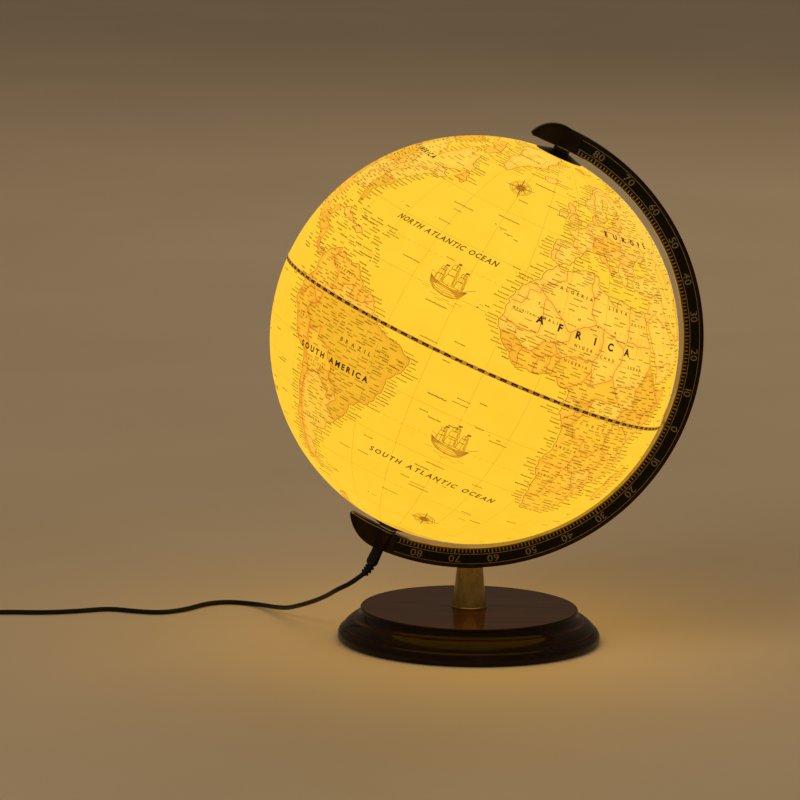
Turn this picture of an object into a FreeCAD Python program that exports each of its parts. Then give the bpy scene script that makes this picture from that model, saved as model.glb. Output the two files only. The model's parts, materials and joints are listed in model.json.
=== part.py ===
import FreeCAD, Part
import math
import os

# Illuminated desk globe on a turned wooden base.
# The origin is the middle of the felt underside, +Z is up, and the numbered front of the
# meridian arm faces -Y. The globe and its arm are drawn upright, with the globe's centre at
# the origin and the arm on +X, and are then tilted towards +X and lifted into place.

# ---- driving dimensions, millimetres and degrees ----
GLOBE_R = 150.0              # a 12 inch globe
GLOBE_WALL = 2.2
CENTRE_Z = 225.0             # height of the globe's centre
TILT = 23.5                  # axis of the Earth

ARM_IN = 155.5               # inner and outer radius of the meridian arm
ARM_OUT = 170.5
ARM_SHIFT = 2.0              # the arm's own centre lies this far from it, behind the globe's
ARM_HALF = 5.0               # half its thickness
SCALE_IN = 156.2             # black graduated strip, let into each face
SCALE_OUT = 167.8
SCALE_END = 86.0             # degrees of latitude where the strip ends
SCALE_DEPTH = 0.6

NORTH_BOSS = (153.1, 169.8, 6.3, 5.2)    # from, to, radius at the globe, radius outside
SOUTH_BOSS = (154.0, 170.0, 7.1, 7.0)
NORTH_PIN_R = 2.0
NORTH_PIN_TOP = 166.0
GRUB_R = 1.2                 # set screw that holds the lamp tube in the arm
GRUB_Z = -156.2
TUBE_R = 4.5                 # lamp tube, which is also the globe's lower spindle
TUBE_BORE = 3.7
RUNNING = 0.08               # radial clearance of the two spindles in their bushes
COLLAR_RIM = 17.9            # flared collars that cover the holes at the poles

BASE_TOP = 25.0
BASE_FOOT = 1.2              # thickness of the felt under the base
BASE_R = 97.0
FELT_R = 92.0
POST_LOW_R = 13.2
POST_TOP_R = 9.5
POST_TOP = 58.0              # the arm is let into the post up to here
POST_FLAT = ((29.8, 12.3), (56.0, ARM_HALF + 0.1))    # heights and half widths of its flats

BOLT_R = 2.5                 # M5 bolt that holds arm, post and base together
BOLT_HEAD = (3.2, 8.2)       # heights of its head, which sits in a pocket under the base
BOLT_END = 62.6
POCKET_R = 12.0
POCKET_TOP = 11.0
INSERT = (55.6, 65.6)        # threaded insert in the arm
INSERT_R = 3.6
BASE_PIN = (1.5, 8.0, 19.0, 31.0)        # pins: radius, distance from the axis, from, to
ARM_PIN = (1.0, 6.0, 51.0, 60.0)
PIN_PLAY = 0.05

LAMP_Z = -44.0               # top of the lamp tube, from the globe's centre
BOARD_Z = LAMP_Z + 3.0       # underside of the lamp board
BOARD_THICK = 1.6
BOARD_SCREW_X = 11.0
WIRE_X = 1.6
LAMP_RINGS = ((6.0, 6), (11.5, 10))      # radius of each ring of lamps, and how many

ARM_END_HALF = 4.4           # half the thickness of the arm's pointed ends
JACK_R = 5.0                 # socket in the arm's lower boss
JACK = (-170.0, -158.0)
NORTH_HOLE = 7.0             # radii of the holes at the globe's poles
SOUTH_HOLE = 10.0

CORD_R = 1.75
CORD_Z = 1.8                 # height of the cord's centre line where it lies on the table
PLUG_FACE = -170.3           # the plug's face, along the axis of the globe
RELIEF_START = -184.0
RELIEF_BEND_R = 18.0
RELIEF_BEND = 28.0

SWITCH_X = -384.0            # in-line switch, which lies along Y
SWITCH_ENDS = (28.0, -26.0)
SWITCH_W = 20.0
SWITCH_H = 13.0
SWITCH_CORD_Z = 6.0
SWITCH_SPLIT = 6.0           # height where the two halves of its case meet
SWITCH_WALL = 1.5
GRIP = 3.0                   # length of cord that each end wall of the switch holds
PIVOT_Y = 0.5 * (SWITCH_ENDS[0] + SWITCH_ENDS[1])
PIVOT_Z = 10.4
ROCKER_W = 9.0
ROCKER_HALF = 8.0
ROCKER_TILT = 7.0            # the rocker rests this far down at its ON end

COIL_X = -388.0
COIL_Y = -95.0
TURN_R = 19.25               # radius at the middle of the coil's turns
CORD_D = 2 * CORD_R
TIE_HALF = 4.0
TIE_THICK = 0.8
USB_X = -411.0
USB_BODY = (-52.0, -26.0)    # moulded body of the USB plug, along Y
USB_Z = 4.3
USB_SHELL_W = 12.0           # standard size of a USB A plug
USB_SHELL_H = 4.5

V = FreeCAD.Vector
X, Y, Z = V(1, 0, 0), V(0, 1, 0), V(0, 0, 1)


def save(name, shape):
    shape.exportStep("parts/" + name + ".step")
    print(name, "%.1f mm3" % shape.Volume, len(shape.Solids), shape.isValid())


def tilted(shape):
    """Moves what was drawn in the globe's upright frame into the object's frame."""
    moved = shape.copy()
    moved.rotate(V(0, 0, 0), Y, TILT)
    moved.translate(V(0, 0, CENTRE_Z))
    return moved


def tilted_point(x, z):
    t = math.radians(TILT)
    return V(x * math.cos(t) + z * math.sin(t), 0, CENTRE_Z - x * math.sin(t) + z * math.cos(t))


def rod(r, z0, z1, x=0.0, y=0.0):
    return Part.makeCylinder(r, z1 - z0, V(x, y, z0))


def tube(r, bore, z0, z1):
    return rod(r, z0, z1).cut(rod(bore, z0 - 1, z1 + 1))


def box(x0, x1, y0, y1, z0, z1):
    return Part.makeBox(x1 - x0, y1 - y0, z1 - z0, V(x0, y0, z0))


def turned(points):
    """A solid of revolution about Z. Each point is (r, z), or (r, z, r_mid, z_mid) when the
    stretch that ends there is an arc through the middle point."""
    edges = []
    last = V(points[0][0], 0, points[0][1])
    for p in points[1:] + points[:1]:
        here = V(p[0], 0, p[1])
        if len(p) == 4:
            edges.append(Part.Arc(last, V(p[2], 0, p[3]), here).toShape())
        else:
            edges.append(Part.makeLine(last, here))
        last = here
    return Part.Face(Part.Wire(edges)).revolve(V(0, 0, 0), Z, 360)


def fuse(shapes):
    whole = shapes[0]
    for s in shapes[1:]:
        whole = whole.fuse(s)
    return whole.removeSplitter()


def group(shapes):
    return Part.makeCompound(shapes)


def pair(r, x, z0, z1):
    """Two rods along Z, this far to each side of the axis."""
    return group([rod(r, z0, z1, side * x) for side in (-1, 1)])


def pin_holes(r, x, z0, z1):
    return pair(r + PIN_PLAY, x, z0 - 2 * PIN_PLAY, z1 + 4 * PIN_PLAY)


# ---- base ----
def felt_pad():
    return rod(FELT_R, 0, BASE_FOOT)


def base():
    """Turned wooden foot: flat top with a beaded lip, a cove, a step and a bullnose."""
    body = turned([
        (0, BASE_FOOT),
        (95.2, BASE_FOOT),
        (BASE_R, 3.4, 96.6, 1.9),
        (93.9, 9.7, 96.2, 7.4),
        (93.0, 9.7),
        (93.0, 11.0),
        (86.4, 16.6, 89.9, 14.2),
        (79.3, 21.8, 81.8, 18.2),
        (79.3, 22.4),
        (79.0, BASE_TOP, 80.5, 23.8),
        (0, BASE_TOP),
    ])
    body = body.cut(rod(BOLT_R + 0.5, 0, 2 * BASE_TOP)).cut(rod(POCKET_R, 0, POCKET_TOP))
    return body.cut(pin_holes(*BASE_PIN))


def hexagon(r, z):
    corners = [math.radians(60 * k) for k in range(7)]
    return Part.Face(Part.makePolygon([V(r * math.cos(a), r * math.sin(a), z) for a in corners]))


def base_bolt():
    """Socket head bolt, screwed up from under the base."""
    z0, z1 = BOLT_HEAD
    head = rod(4.25, z0, z1).cut(hexagon(2.3, z0 - 0.2).extrude(V(0, 0, 3.0)))
    shank = rod(BOLT_R, z1, BOLT_END)
    tip = Part.makeCone(BOLT_R, BOLT_R - 0.6, 0.6, V(0, 0, BOLT_END))
    return fuse([head, shank, tip])


def lock_washer():
    """Split ring, between the bolt's head and the flat washer."""
    z0, z1 = BOLT_HEAD[1], POCKET_TOP - 1.5
    ring = rod(4.4, z0, z1).cut(rod(BOLT_R + 0.2, z0 - 1, z1 + 1))
    return ring.cut(box(0, 6, -0.5, 0.5, z0 - 1, z1 + 1))


def bolt_washer():
    z0, z1 = POCKET_TOP - 1.5, POCKET_TOP
    return rod(9.0, z0, z1).cut(rod(BOLT_R + 0.3, z0 - 1, z1 + 1))


def locating_pins():
    return pair(*BASE_PIN)


# ---- post ----
def arm_centre():
    return tilted_point(-ARM_SHIFT, 0)


def arm_cylinder(r):
    """A cylinder across the object, coaxial with the meridian arm's outer edge."""
    c = arm_centre()
    return Part.makeCylinder(r, 60, V(c.x, -30, c.z), Y)


def post():
    """Round tapered post with a thin foot, flattened front and back to the arm's thickness."""
    body = turned([
        (0, BASE_TOP), (POST_LOW_R, BASE_TOP), (POST_LOW_R, 26.1), (POST_LOW_R - 0.4, 26.6),
        (POST_TOP_R, POST_TOP, 10.9, 42.0), (0, POST_TOP),
    ])
    (low, wide), (top, narrow) = POST_FLAT
    slope = (wide - narrow) / (top - low)
    beyond, out, across = 10.0, 40.0, 20.0
    for side in (-1, 1):
        foot = V(-across, side * (wide + slope * beyond), low - beyond)
        tip = V(-across, side * (narrow - slope * beyond), top + beyond)
        wedge = Part.makePolygon([foot, V(-across, side * out, foot.z),
                                  V(-across, side * out, tip.z), tip, foot])
        body = body.cut(Part.Face(wedge).extrude(V(2 * across, 0, 0)))
    body = body.cut(arm_cylinder(ARM_OUT + 0.02))
    body = body.cut(rod(BOLT_R + 0.3, 0, 2 * POST_TOP))
    return body.cut(pin_holes(*BASE_PIN)).cut(pin_holes(*ARM_PIN))


def arm_pins():
    return pair(*ARM_PIN)


def threaded_insert():
    z0, z1 = INSERT
    body = rod(INSERT_R, z0, z1)
    grooves = [tube(INSERT_R + 0.6, INSERT_R - 0.3, z, z + 0.8)
               for z in (z0 + 2.4, z0 + 4.8, z0 + 7.2)]
    return body.cut(rod(BOLT_R + 0.05, z0 - 1, z1 + 1)).cut(group(grooves))


# ---- meridian arm, drawn upright ----
def arm_section(r0, r1, y0, y1, soft):
    """A rectangle in the XY plane, at the arm's +X side, with rounded corners."""
    c = -ARM_SHIFT
    d = soft * (1 - math.sqrt(0.5))
    pts = [(r0 + soft, y0), (r1 - soft, y0), (r1, y0 + soft), (r1, y1 - soft),
           (r1 - soft, y1), (r0 + soft, y1), (r0, y1 - soft), (r0, y0 + soft)]
    mids = [None, (r1 - d, y0 + d), None, (r1 - d, y1 - d), None, (r0 + d, y1 - d), None,
            (r0 + d, y0 + d)]
    edges = []
    for k, mid in enumerate(mids):
        a, b = pts[k], pts[(k + 1) % 8]
        a, b = V(c + a[0], a[1], 0), V(c + b[0], b[1], 0)
        if mid is None:
            edges.append(Part.makeLine(a, b))
        else:
            edges.append(Part.Arc(a, V(c + mid[0], mid[1], 0), b).toShape())
    return Part.Face(Part.Wire(edges))


def arc_about_arm(face, low, high):
    """Turns a section about the arm's centre, from one latitude to another."""
    start = face.copy()
    start.rotate(V(-ARM_SHIFT, 0, 0), Y, -low)
    return start.revolve(V(-ARM_SHIFT, 0, 0), V(0, -1, 0), high - low)


def leaf(points, half):
    """The arm's pointed end: an outline in XZ, extruded across Y, with eased edges."""
    edges = []
    last = V(points[0][0], -half, points[0][1])
    for p in points[1:] + points[:1]:
        here = V(p[0], -half, p[1])
        if len(p) == 4:
            edges.append(Part.Arc(last, V(p[2], -half, p[3]), here).toShape())
        else:
            edges.append(Part.makeLine(last, here))
        last = here
    slab = Part.Face(Part.Wire(edges)).extrude(V(0, 2 * half, 0))
    root = max(p[0] for p in points)
    eased = [e for e in slab.Edges if abs(e.CenterOfMass.y) > half - 0.01
             and e.CenterOfMass.x < root - 0.01]
    return slab.makeFillet(0.9, eased)


def boss(dims, sign):
    z0, z1, r0, r1 = dims
    return Part.makeCone(r0, r1, z1 - z0, V(0, 0, sign * z0), V(0, 0, sign))


def meridian_arm():
    arc = arc_about_arm(arm_section(ARM_IN, ARM_OUT, -ARM_HALF, ARM_HALF, 0.8), -90.6, 90.6)
    north = leaf([(1, 155.3), (1, 170.4), (-25.4, 157.4, -15.0, 168.7),
                  (-22.6, 155.2, -24.9, 155.7)], ARM_END_HALF)
    south = leaf([(1, -155.0), (-26.0, -152.6), (-29.6, -156.0, -28.9, -153.2),
                  (1, -170.4, -18.0, -167.0)], ARM_END_HALF)
    body = fuse([arc, north, south, boss(NORTH_BOSS, 1), boss(SOUTH_BOSS, -1)])
    for side in (-1, 1):
        outer, inner = side * (ARM_HALF + 2), side * (ARM_HALF - SCALE_DEPTH)
        y0, y1 = min(outer, inner), max(outer, inner)
        recess = arm_section(SCALE_IN, SCALE_OUT, y0, y1, 0.05)
        body = body.cut(arc_about_arm(recess, -SCALE_END, SCALE_END))
    body = body.cut(rod(NORTH_PIN_R, 140, NORTH_PIN_TOP + 0.2))
    body = body.cut(rod(TUBE_R, JACK[1], -140)).cut(rod(JACK_R, JACK[0] - 5, JACK[1]))
    body = body.cut(Part.makeCylinder(GRUB_R + 0.05, 12, V(0, 0, GRUB_Z), Y))
    whole = tilted(body)
    whole = whole.cut(rod(INSERT_R, INSERT[0] - 5, INSERT[1]))
    whole = whole.cut(rod(BOLT_R + 0.4, INSERT[0] - 5, INSERT[1] + 2.4))
    return whole.cut(pin_holes(*ARM_PIN))


def graduated_strip(side):
    face, floor = side * (ARM_HALF - 0.15), side * (ARM_HALF - SCALE_DEPTH)
    y0, y1 = min(face, floor), max(face, floor)
    section = arm_section(SCALE_IN + 0.1, SCALE_OUT - 0.1, y0, y1, 0.05)
    return tilted(arc_about_arm(section, -SCALE_END + 0.05, SCALE_END - 0.05))


def north_pin():
    body = rod(NORTH_PIN_R, 139.0, NORTH_PIN_TOP)
    tip = Part.makeCone(NORTH_PIN_R - 0.6, NORTH_PIN_R, 0.8, V(0, 0, 138.2))
    return tilted(fuse([body, tip]))


def thrust_washer():
    return tilted(tube(7.0, TUBE_R + 0.1, -154.0, -153.25))


def grub_screw():
    body = Part.makeCylinder(GRUB_R, 2.3, V(0, TUBE_R + 0.05, GRUB_Z), Y)
    slot = box(-0.3, 0.3, TUBE_R + 1.7, 9, GRUB_Z - 3, GRUB_Z + 3)
    return tilted(body.cut(slot))


# ---- lamp, drawn upright ----
def lamp_tube():
    return tilted(tube(TUBE_R, TUBE_BORE, JACK[1] + 0.1, LAMP_Z))


def lamp_holder():
    body = turned([(TUBE_R, LAMP_Z - 12), (8.0, LAMP_Z - 12), (9.0, LAMP_Z - 4),
                   (17.0, LAMP_Z), (17.0, LAMP_Z + 6), (15.2, LAMP_Z + 6),
                   (15.2, BOARD_Z), (TUBE_BORE, BOARD_Z), (TUBE_BORE, LAMP_Z),
                   (TUBE_R, LAMP_Z)])
    return tilted(body.cut(pair(0.9, BOARD_SCREW_X, LAMP_Z - 3, LAMP_Z + 9)))


def led_board():
    plate = rod(14.8, BOARD_Z, BOARD_Z + BOARD_THICK)
    plate = plate.cut(pair(1.3, BOARD_SCREW_X, LAMP_Z, LAMP_Z + 9))
    return tilted(plate.cut(pair(1.0, WIRE_X, LAMP_Z, LAMP_Z + 9)))


def leds():
    chips = []
    half, z = 1.0, BOARD_Z + BOARD_THICK
    for ring_r, count in LAMP_RINGS:
        for k in range(count):
            a = 2 * math.pi * (k + 0.5) / count
            x, y = ring_r * math.cos(a), ring_r * math.sin(a)
            chips.append(box(x - half, x + half, y - half, y + half, z, z + 0.8))
    return tilted(group(chips))


def board_screws():
    screws = []
    z = BOARD_Z + BOARD_THICK
    for x in (-BOARD_SCREW_X, BOARD_SCREW_X):
        screws.append(fuse([rod(0.85, LAMP_Z - 1.5, z, x), rod(1.7, z, z + 1.1, x)]))
    return tilted(group(screws))


def diffuser():
    """Frosted dome over the lamps, with a skirt that fits inside the holder's rim."""
    z = LAMP_Z + 6
    side, r, bore = z + 14, 17.0, 15.4
    slant = math.sqrt(0.5)
    body = turned([(13.6, z - 1.2), (15.1, z - 1.2), (15.1, z), (r, z), (r, side),
                   (0, side + r, r * slant, side + r * slant), (0, side + bore),
                   (bore, side, bore * slant, side + bore * slant), (bore, z + 1.0),
                   (13.6, z + 1.0)])
    return tilted(body)


def lead_wires():
    return tilted(pair(0.7, WIRE_X, JACK[1] + 0.1, LAMP_Z + 5.2))


def dc_jack():
    z0, z1 = JACK
    body = rod(JACK_R, z0, z1)
    return tilted(body.cut(rod(2.8, z0 - 1, z1 - 2.4)).cut(rod(0.8, z1 - 3, z1 + 1)))


def jack_pin():
    z0, z1 = JACK
    pin = rod(1.0, z0 + 1.4, z1 - 2.4)
    tail = rod(0.8, z1 - 2.4, z1 - 0.2)
    return tilted(fuse([pin, tail]))


# ---- globe, drawn upright ----
def hemisphere(sign, hole):
    ball = Part.makeSphere(GLOBE_R).cut(Part.makeSphere(GLOBE_R - GLOBE_WALL))
    far = 200.0
    z0, z1 = (0, far) if sign > 0 else (-far, 0)
    return tilted(ball.common(box(-far, far, -far, far, z0, z1)).cut(rod(hole, z0, z1)))


def equator_tape():
    return tilted(tube(GLOBE_R + 0.35, GLOBE_R, -1.6, 1.6))


def joining_ring():
    return tilted(tube(GLOBE_R - GLOBE_WALL - 0.2, GLOBE_R - GLOBE_WALL - 1.8, -6, 6))


def bush(sign, bore, body_r, flange_r):
    """Nylon bush in a pole's hole, with a flange inside the shell."""
    seat = math.sqrt((GLOBE_R - GLOBE_WALL) ** 2 - flange_r ** 2) - 0.1
    shape = turned([(bore, 138.0), (flange_r - 4, 138.0), (flange_r, seat - 2.4),
                    (flange_r, seat), (body_r, seat), (body_r, 149.2), (bore, 149.2)])
    if sign < 0:
        shape = shape.mirror(V(0, 0, 0), Z)
    return tilted(shape)


def collar(sign, bore, neck_r, top):
    """Flared cap glued over the hole at a pole."""
    rim_z = math.sqrt(GLOBE_R ** 2 - COLLAR_RIM ** 2)
    shape = turned([(bore, 148.0), (COLLAR_RIM, 148.0), (COLLAR_RIM, rim_z + 0.3),
                    (neck_r, top, 0.42 * COLLAR_RIM + 0.58 * neck_r, top - 1.55), (bore, top)])
    shape = shape.cut(Part.makeSphere(GLOBE_R))
    if sign < 0:
        shape = shape.mirror(V(0, 0, 0), Z)
    return tilted(shape)


# ---- plug in the arm's lower boss, drawn upright ----
def dc_plug():
    f = PLUG_FACE
    body = turned([(0, f), (3.6, f), (4.1, f - 0.7, 3.95, f - 0.2), (4.4, f - 10.5),
                   (3.3, RELIEF_START, 4.2, f - 12.2), (0, RELIEF_START)])
    grips = []
    for side in (-1, 1):
        for k in range(4):
            z = f - 3.2 - 1.9 * k
            grips.append(box(-2.2, 2.2, side * 4.6 - 0.7, side * 4.6 + 0.7, z - 0.45, z + 0.45))
    return tilted(body.cut(group(grips)).cut(rod(2.75, -176.0, f)))


def plug_barrel():
    return tilted(tube(2.75, 1.05, -176.0, -161.0))


def relief_frame(turn):
    """Point and heading on the strain relief's bent centre line, upright frame."""
    a = math.radians(turn)
    x = -RELIEF_BEND_R * (1 - math.cos(a))
    z = RELIEF_START - RELIEF_BEND_R * math.sin(a)
    return V(x, 0, z), V(-math.sin(a), 0, -math.cos(a))


def strain_relief():
    """Bent, tapering sleeve with three ribs, moulded on to the plug."""
    path = Part.Arc(relief_frame(0)[0], relief_frame(RELIEF_BEND / 2)[0],
                    relief_frame(RELIEF_BEND)[0]).toShape()
    sleeve = Part.Wire([path]).makePipeShell(
        [Part.Wire([Part.makeCircle(2.75, *relief_frame(0))]),
         Part.Wire([Part.makeCircle(2.25, *relief_frame(RELIEF_BEND))])], True, False)
    ribs = []
    for turn, r in ((4.0, 3.6), (12.5, 3.4), (21.0, 3.15)):
        at, way = relief_frame(turn)
        ribs.append(Part.makeCylinder(r, 1.35, at, way))
    return tilted(fuse([sleeve] + ribs))


# ---- cord ----
def cord_start():
    """Where the cord leaves the strain relief, and its heading there."""
    at, way = relief_frame(RELIEF_BEND)
    start = tilted_point(at.x, at.z)
    return start, tilted_point(at.x + way.x, at.z + way.z) - start


LEAD_ROUTE = [
    (-97.5, 7.5, 36.0), (-104.0, 21.0, 28.7), (-112.5, 38.0, 21.0), (-124.0, 58.0, 13.0),
    (-134.5, 80.0, 6.0), (-154.0, 116.0, CORD_Z), (-176.0, 125.0, CORD_Z),
    (-193.5, 116.5, CORD_Z), (-208.0, 95.0, CORD_Z), (-227.0, 82.0, CORD_Z),
    (-247.0, 87.0, CORD_Z), (-266.0, 96.5, CORD_Z), (-287.0, 87.5, CORD_Z),
    (-313.0, 80.0, CORD_Z), (-347.0, 82.0, CORD_Z), (-370.0, 74.0, 2.2),
    (-381.5, 56.0, 4.4), (-384.0, 40.0, SWITCH_CORD_Z),
    (SWITCH_X, SWITCH_ENDS[0] - GRIP, SWITCH_CORD_Z),
]

LINK_ROUTE = [
    (SWITCH_X, SWITCH_ENDS[1] + GRIP, SWITCH_CORD_Z), (-383.9, -37.0, 5.8), (-379.0, -52.0, 3.4),
    (-371.5, -66.0, CORD_Z), (-366.5, -80.0, CORD_Z), (COIL_X + TURN_R + CORD_D, -92.0, CORD_Z),
]

TAIL_ROUTE = [
    (COIL_X - TURN_R - CORD_D, -92.0, CORD_Z + 2 * CORD_D), (-411.6, -80.0, 7.2),
    (-411.2, -69.0, 5.2), (USB_X, -60.0, USB_Z),
]


def cord_tube(route, name):
    """Straight runs joined by tangent arcs, as large as the runs allow."""
    pts = [V(*p) for p in route]
    edges = []
    last = pts[0]
    radii = []
    for a, b, c in zip(pts, pts[1:], pts[2:]):
        back, ahead = a - b, c - b
        reach = 0.45 * min(back.Length, ahead.Length)
        back.normalize()
        ahead.normalize()
        turn = math.pi - back.getAngle(ahead)
        radius = reach / math.tan(turn / 2)
        radii.append(radius)
        start, end = b + back * reach, b + ahead * reach
        inward = (back + ahead).normalize()
        middle = b + inward * (radius / math.cos(turn / 2) - radius)
        edges += [Part.LineSegment(last, start).toShape(), Part.Arc(start, middle, end).toShape()]
        last = end
    edges.append(Part.LineSegment(last, pts[-1]).toShape())
    wire = Part.Wire(edges)
    ring = Part.Wire([Part.makeCircle(CORD_R, pts[0], pts[1] - pts[0])])
    solid = wire.makePipeShell([ring], True, False)
    filled = solid.Volume / (math.pi * CORD_R ** 2 * wire.Length)
    print(name, "length %.1f" % wire.Length, "radii", [round(r, 1) for r in radii])
    print(name, "volume over section times length %.4f" % filled)
    return solid


def lead_route():
    at, way = cord_start()
    first = at + way * 11.5
    return [tuple(at), tuple(first)] + LEAD_ROUTE


def coil_ring():
    """Ring that just holds the coil's three by three turns, with its corners cut off."""
    half = 1.5 * CORD_D + 0.1
    corner = 1.5
    low, high, top = TURN_R - half, TURN_R + half, 2 * half
    ring = turned([(low, corner), (low + corner, 0), (high - corner, 0), (high, corner),
                   (high, top - corner), (high - corner, top), (low + corner, top),
                   (low, top - corner)])
    ring.translate(V(COIL_X, COIL_Y, 0))
    return ring


def cord_coil():
    """The coil, with room for the tie under its front."""
    wide = TIE_HALF + 0.2
    under_tie = box(COIL_X - wide, COIL_X + wide, COIL_Y - 40, COIL_Y - 5, -1, TIE_THICK + 0.1)
    return coil_ring().cut(under_tie)


def cord_tie():
    half = 1.5 * CORD_D
    y = COIL_Y - TURN_R
    out = box(COIL_X - TIE_HALF, COIL_X + TIE_HALF, y - half - 1.6, y + half + 1.6,
              0, 2 * half + 1.2)
    hole = box(COIL_X - 9, COIL_X + 9, y - half - 0.8, y + half + 0.8, TIE_THICK, 2 * half + 0.4)
    tail = box(COIL_X - TIE_HALF, COIL_X + TIE_HALF, y + half + 1.6, y + half + 6.0,
               2 * half + 0.4, 2 * half + 1.2)
    return fuse([out.cut(hole), tail])


# ---- in-line switch, along Y ----
def switch_outline(z0, z1, inset):
    """Long case with rounded ends, seen from above."""
    w = SWITCH_W / 2 - inset
    end_w = 5.5 - inset
    high, low = SWITCH_ENDS[0] - inset, SWITCH_ENDS[1] + inset
    swell = 9.0
    pts = [(end_w, high), (w, high - swell), (w, low + swell), (end_w, low),
           (-end_w, low), (-w, low + swell), (-w, high - swell), (-end_w, high)]
    wire = Part.makePolygon([V(SWITCH_X + x, y, z0) for x, y in pts + pts[:1]])
    return Part.Face(wire).extrude(V(0, 0, z1 - z0))


def switch_case_bottom():
    shell = switch_outline(0, SWITCH_SPLIT, 0).cut(switch_outline(1.4, 9, SWITCH_WALL))
    edges = [e for e in shell.Edges if e.BoundBox.ZMax < 0.01]
    shell = shell.makeFillet(0.8, edges)
    posts = [rod(2.4, 1.4, SWITCH_SPLIT, SWITCH_X, y).cut(rod(1.0, 1, 9, SWITCH_X, y))
             for y in switch_screw_y()]
    heads = [rod(2.1, -1, 1.6, SWITCH_X, y) for y in switch_screw_y()]
    holes = [rod(1.0, 0, 9, SWITCH_X, y) for y in switch_screw_y()]
    return fuse([shell] + posts).cut(group(heads + holes)).cut(cord_holes())


def switch_screw_y():
    return (SWITCH_ENDS[0] - 13.0, SWITCH_ENDS[1] + 13.0)


def cord_holes():
    high, low = SWITCH_ENDS
    return group([Part.makeCylinder(CORD_R, GRIP + 1, V(SWITCH_X, y, SWITCH_CORD_Z), Y)
                  for y in (high - GRIP, low - 1)])


def rocker_window(grow):
    return box(SWITCH_X - ROCKER_W / 2 - grow, SWITCH_X + ROCKER_W / 2 + grow,
               PIVOT_Y - ROCKER_HALF - grow, PIVOT_Y + ROCKER_HALF + grow, 4.0, 20.0)


def pivot_rod(r, half):
    return Part.makeCylinder(r, 2 * half, V(SWITCH_X - half, PIVOT_Y, PIVOT_Z), X)


def switch_case_top():
    outside = switch_outline(SWITCH_SPLIT, SWITCH_H, 0)
    edges = [e for e in outside.Edges if e.BoundBox.ZMin > SWITCH_H - 0.01]
    outside = outside.makeFillet(1.6, edges)
    shell = outside.cut(switch_outline(SWITCH_SPLIT - 1, SWITCH_H - SWITCH_WALL, SWITCH_WALL))
    cheeks = box(SWITCH_X - ROCKER_W / 2 - 2.0, SWITCH_X + ROCKER_W / 2 + 2.0,
                 PIVOT_Y - 3.0, PIVOT_Y + 3.0, 8.4, SWITCH_H - 1.0)
    posts = [rod(2.4, SWITCH_SPLIT, SWITCH_H - 1.2, SWITCH_X, y).cut(
        rod(0.85, 0, SWITCH_H - 2.5, SWITCH_X, y)) for y in switch_screw_y()]
    body = fuse([shell, cheeks] + posts).cut(rocker_window(0.35))
    return body.cut(pivot_rod(1.05, ROCKER_W / 2 + 1.6)).cut(cord_holes())


def switch_rocker():
    """Rocker with two sloping pads and trunnions, tipped to its ON stop."""
    w = ROCKER_W / 2
    side = Part.makePolygon([V(SWITCH_X - w, PIVOT_Y + y, PIVOT_Z + z) for y, z in [
        (-7.6, -0.4), (-7.6, 4.2), (0, 3.1), (7.6, 4.2), (7.6, -0.4), (3.0, -2.4), (-3.0, -2.4),
        (-7.6, -0.4)]])
    body = Part.Face(side).extrude(V(2 * w, 0, 0))
    body = fuse([body, pivot_rod(1.0, w + 1.4)])
    body.rotate(V(SWITCH_X, PIVOT_Y, PIVOT_Z), X, ROCKER_TILT)
    return body


def switch_screws():
    screws = []
    for y in switch_screw_y():
        head = rod(2.0, 0.2, 1.5, SWITCH_X, y)
        shank = rod(0.85, 1.5, 9.6, SWITCH_X, y)
        slot = box(SWITCH_X - 1.6, SWITCH_X + 1.6, y - 0.25, y + 0.25, 0, 0.8)
        screws.append(fuse([head, shank]).cut(slot))
    return group(screws)


def switch_contacts():
    strips = []
    for side in (-1, 1):
        y = PIVOT_Y + side * 5.6
        foot = box(SWITCH_X - 3, SWITCH_X + 3, y - 3.0, y + 3.0, 1.4, 2.0)
        blade = box(SWITCH_X - 2, SWITCH_X + 2, y - 0.3, y + 0.3, 2.0, 5.6)
        strips.append(fuse([foot, blade]))
    return group(strips)


# ---- USB plug, along Y ----
def usb_box(w, h, y0, y1, soft):
    body = box(USB_X - w / 2, USB_X + w / 2, y0, y1, USB_Z - h / 2, USB_Z + h / 2)
    return body if not soft else body.makeFillet(soft, body.Edges)


def usb_body():
    y0, y1 = USB_BODY
    body = usb_box(15.6, 8.6, y0, y1, 1.6)
    neck = Part.makeCone(2.6, 3.6, 8.4, V(USB_X, y0 - 8.0, USB_Z), Y)
    ribs = [Part.makeCylinder(3.5, 1.2, V(USB_X, y0 - 6.6 + 2.3 * k, USB_Z), Y) for k in range(3)]
    hollow = usb_box(USB_SHELL_W, USB_SHELL_H, y1 - 8.0, y1 + 5, 0)
    return fuse([body, neck] + ribs).cut(hollow)


def usb_shell():
    y1 = USB_BODY[1]
    outer = usb_box(USB_SHELL_W, USB_SHELL_H, y1 - 8.0, y1 + 12.0, 0)
    inner = usb_box(USB_SHELL_W - 0.6, USB_SHELL_H - 0.6, y1 - 7.0, y1 + 13.0, 0)
    windows = [box(USB_X + x - 1.25, USB_X + x + 1.25, y1 + 5.2, y1 + 7.7, USB_Z - 4, USB_Z + 4)
               for x in (-3.0, 3.0)]
    return outer.cut(inner).cut(group(windows))


def usb_tongue():
    y1 = USB_BODY[1]
    block = box(USB_X - 5.6, USB_X + 5.6, y1 - 7.0, y1 - 0.5, USB_Z - 1.9, USB_Z + 1.9)
    tongue = box(USB_X - 5.6, USB_X + 5.6, y1 - 0.6, y1 + 11.4, USB_Z - 1.9, USB_Z - 0.1)
    return fuse([block, tongue])


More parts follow.
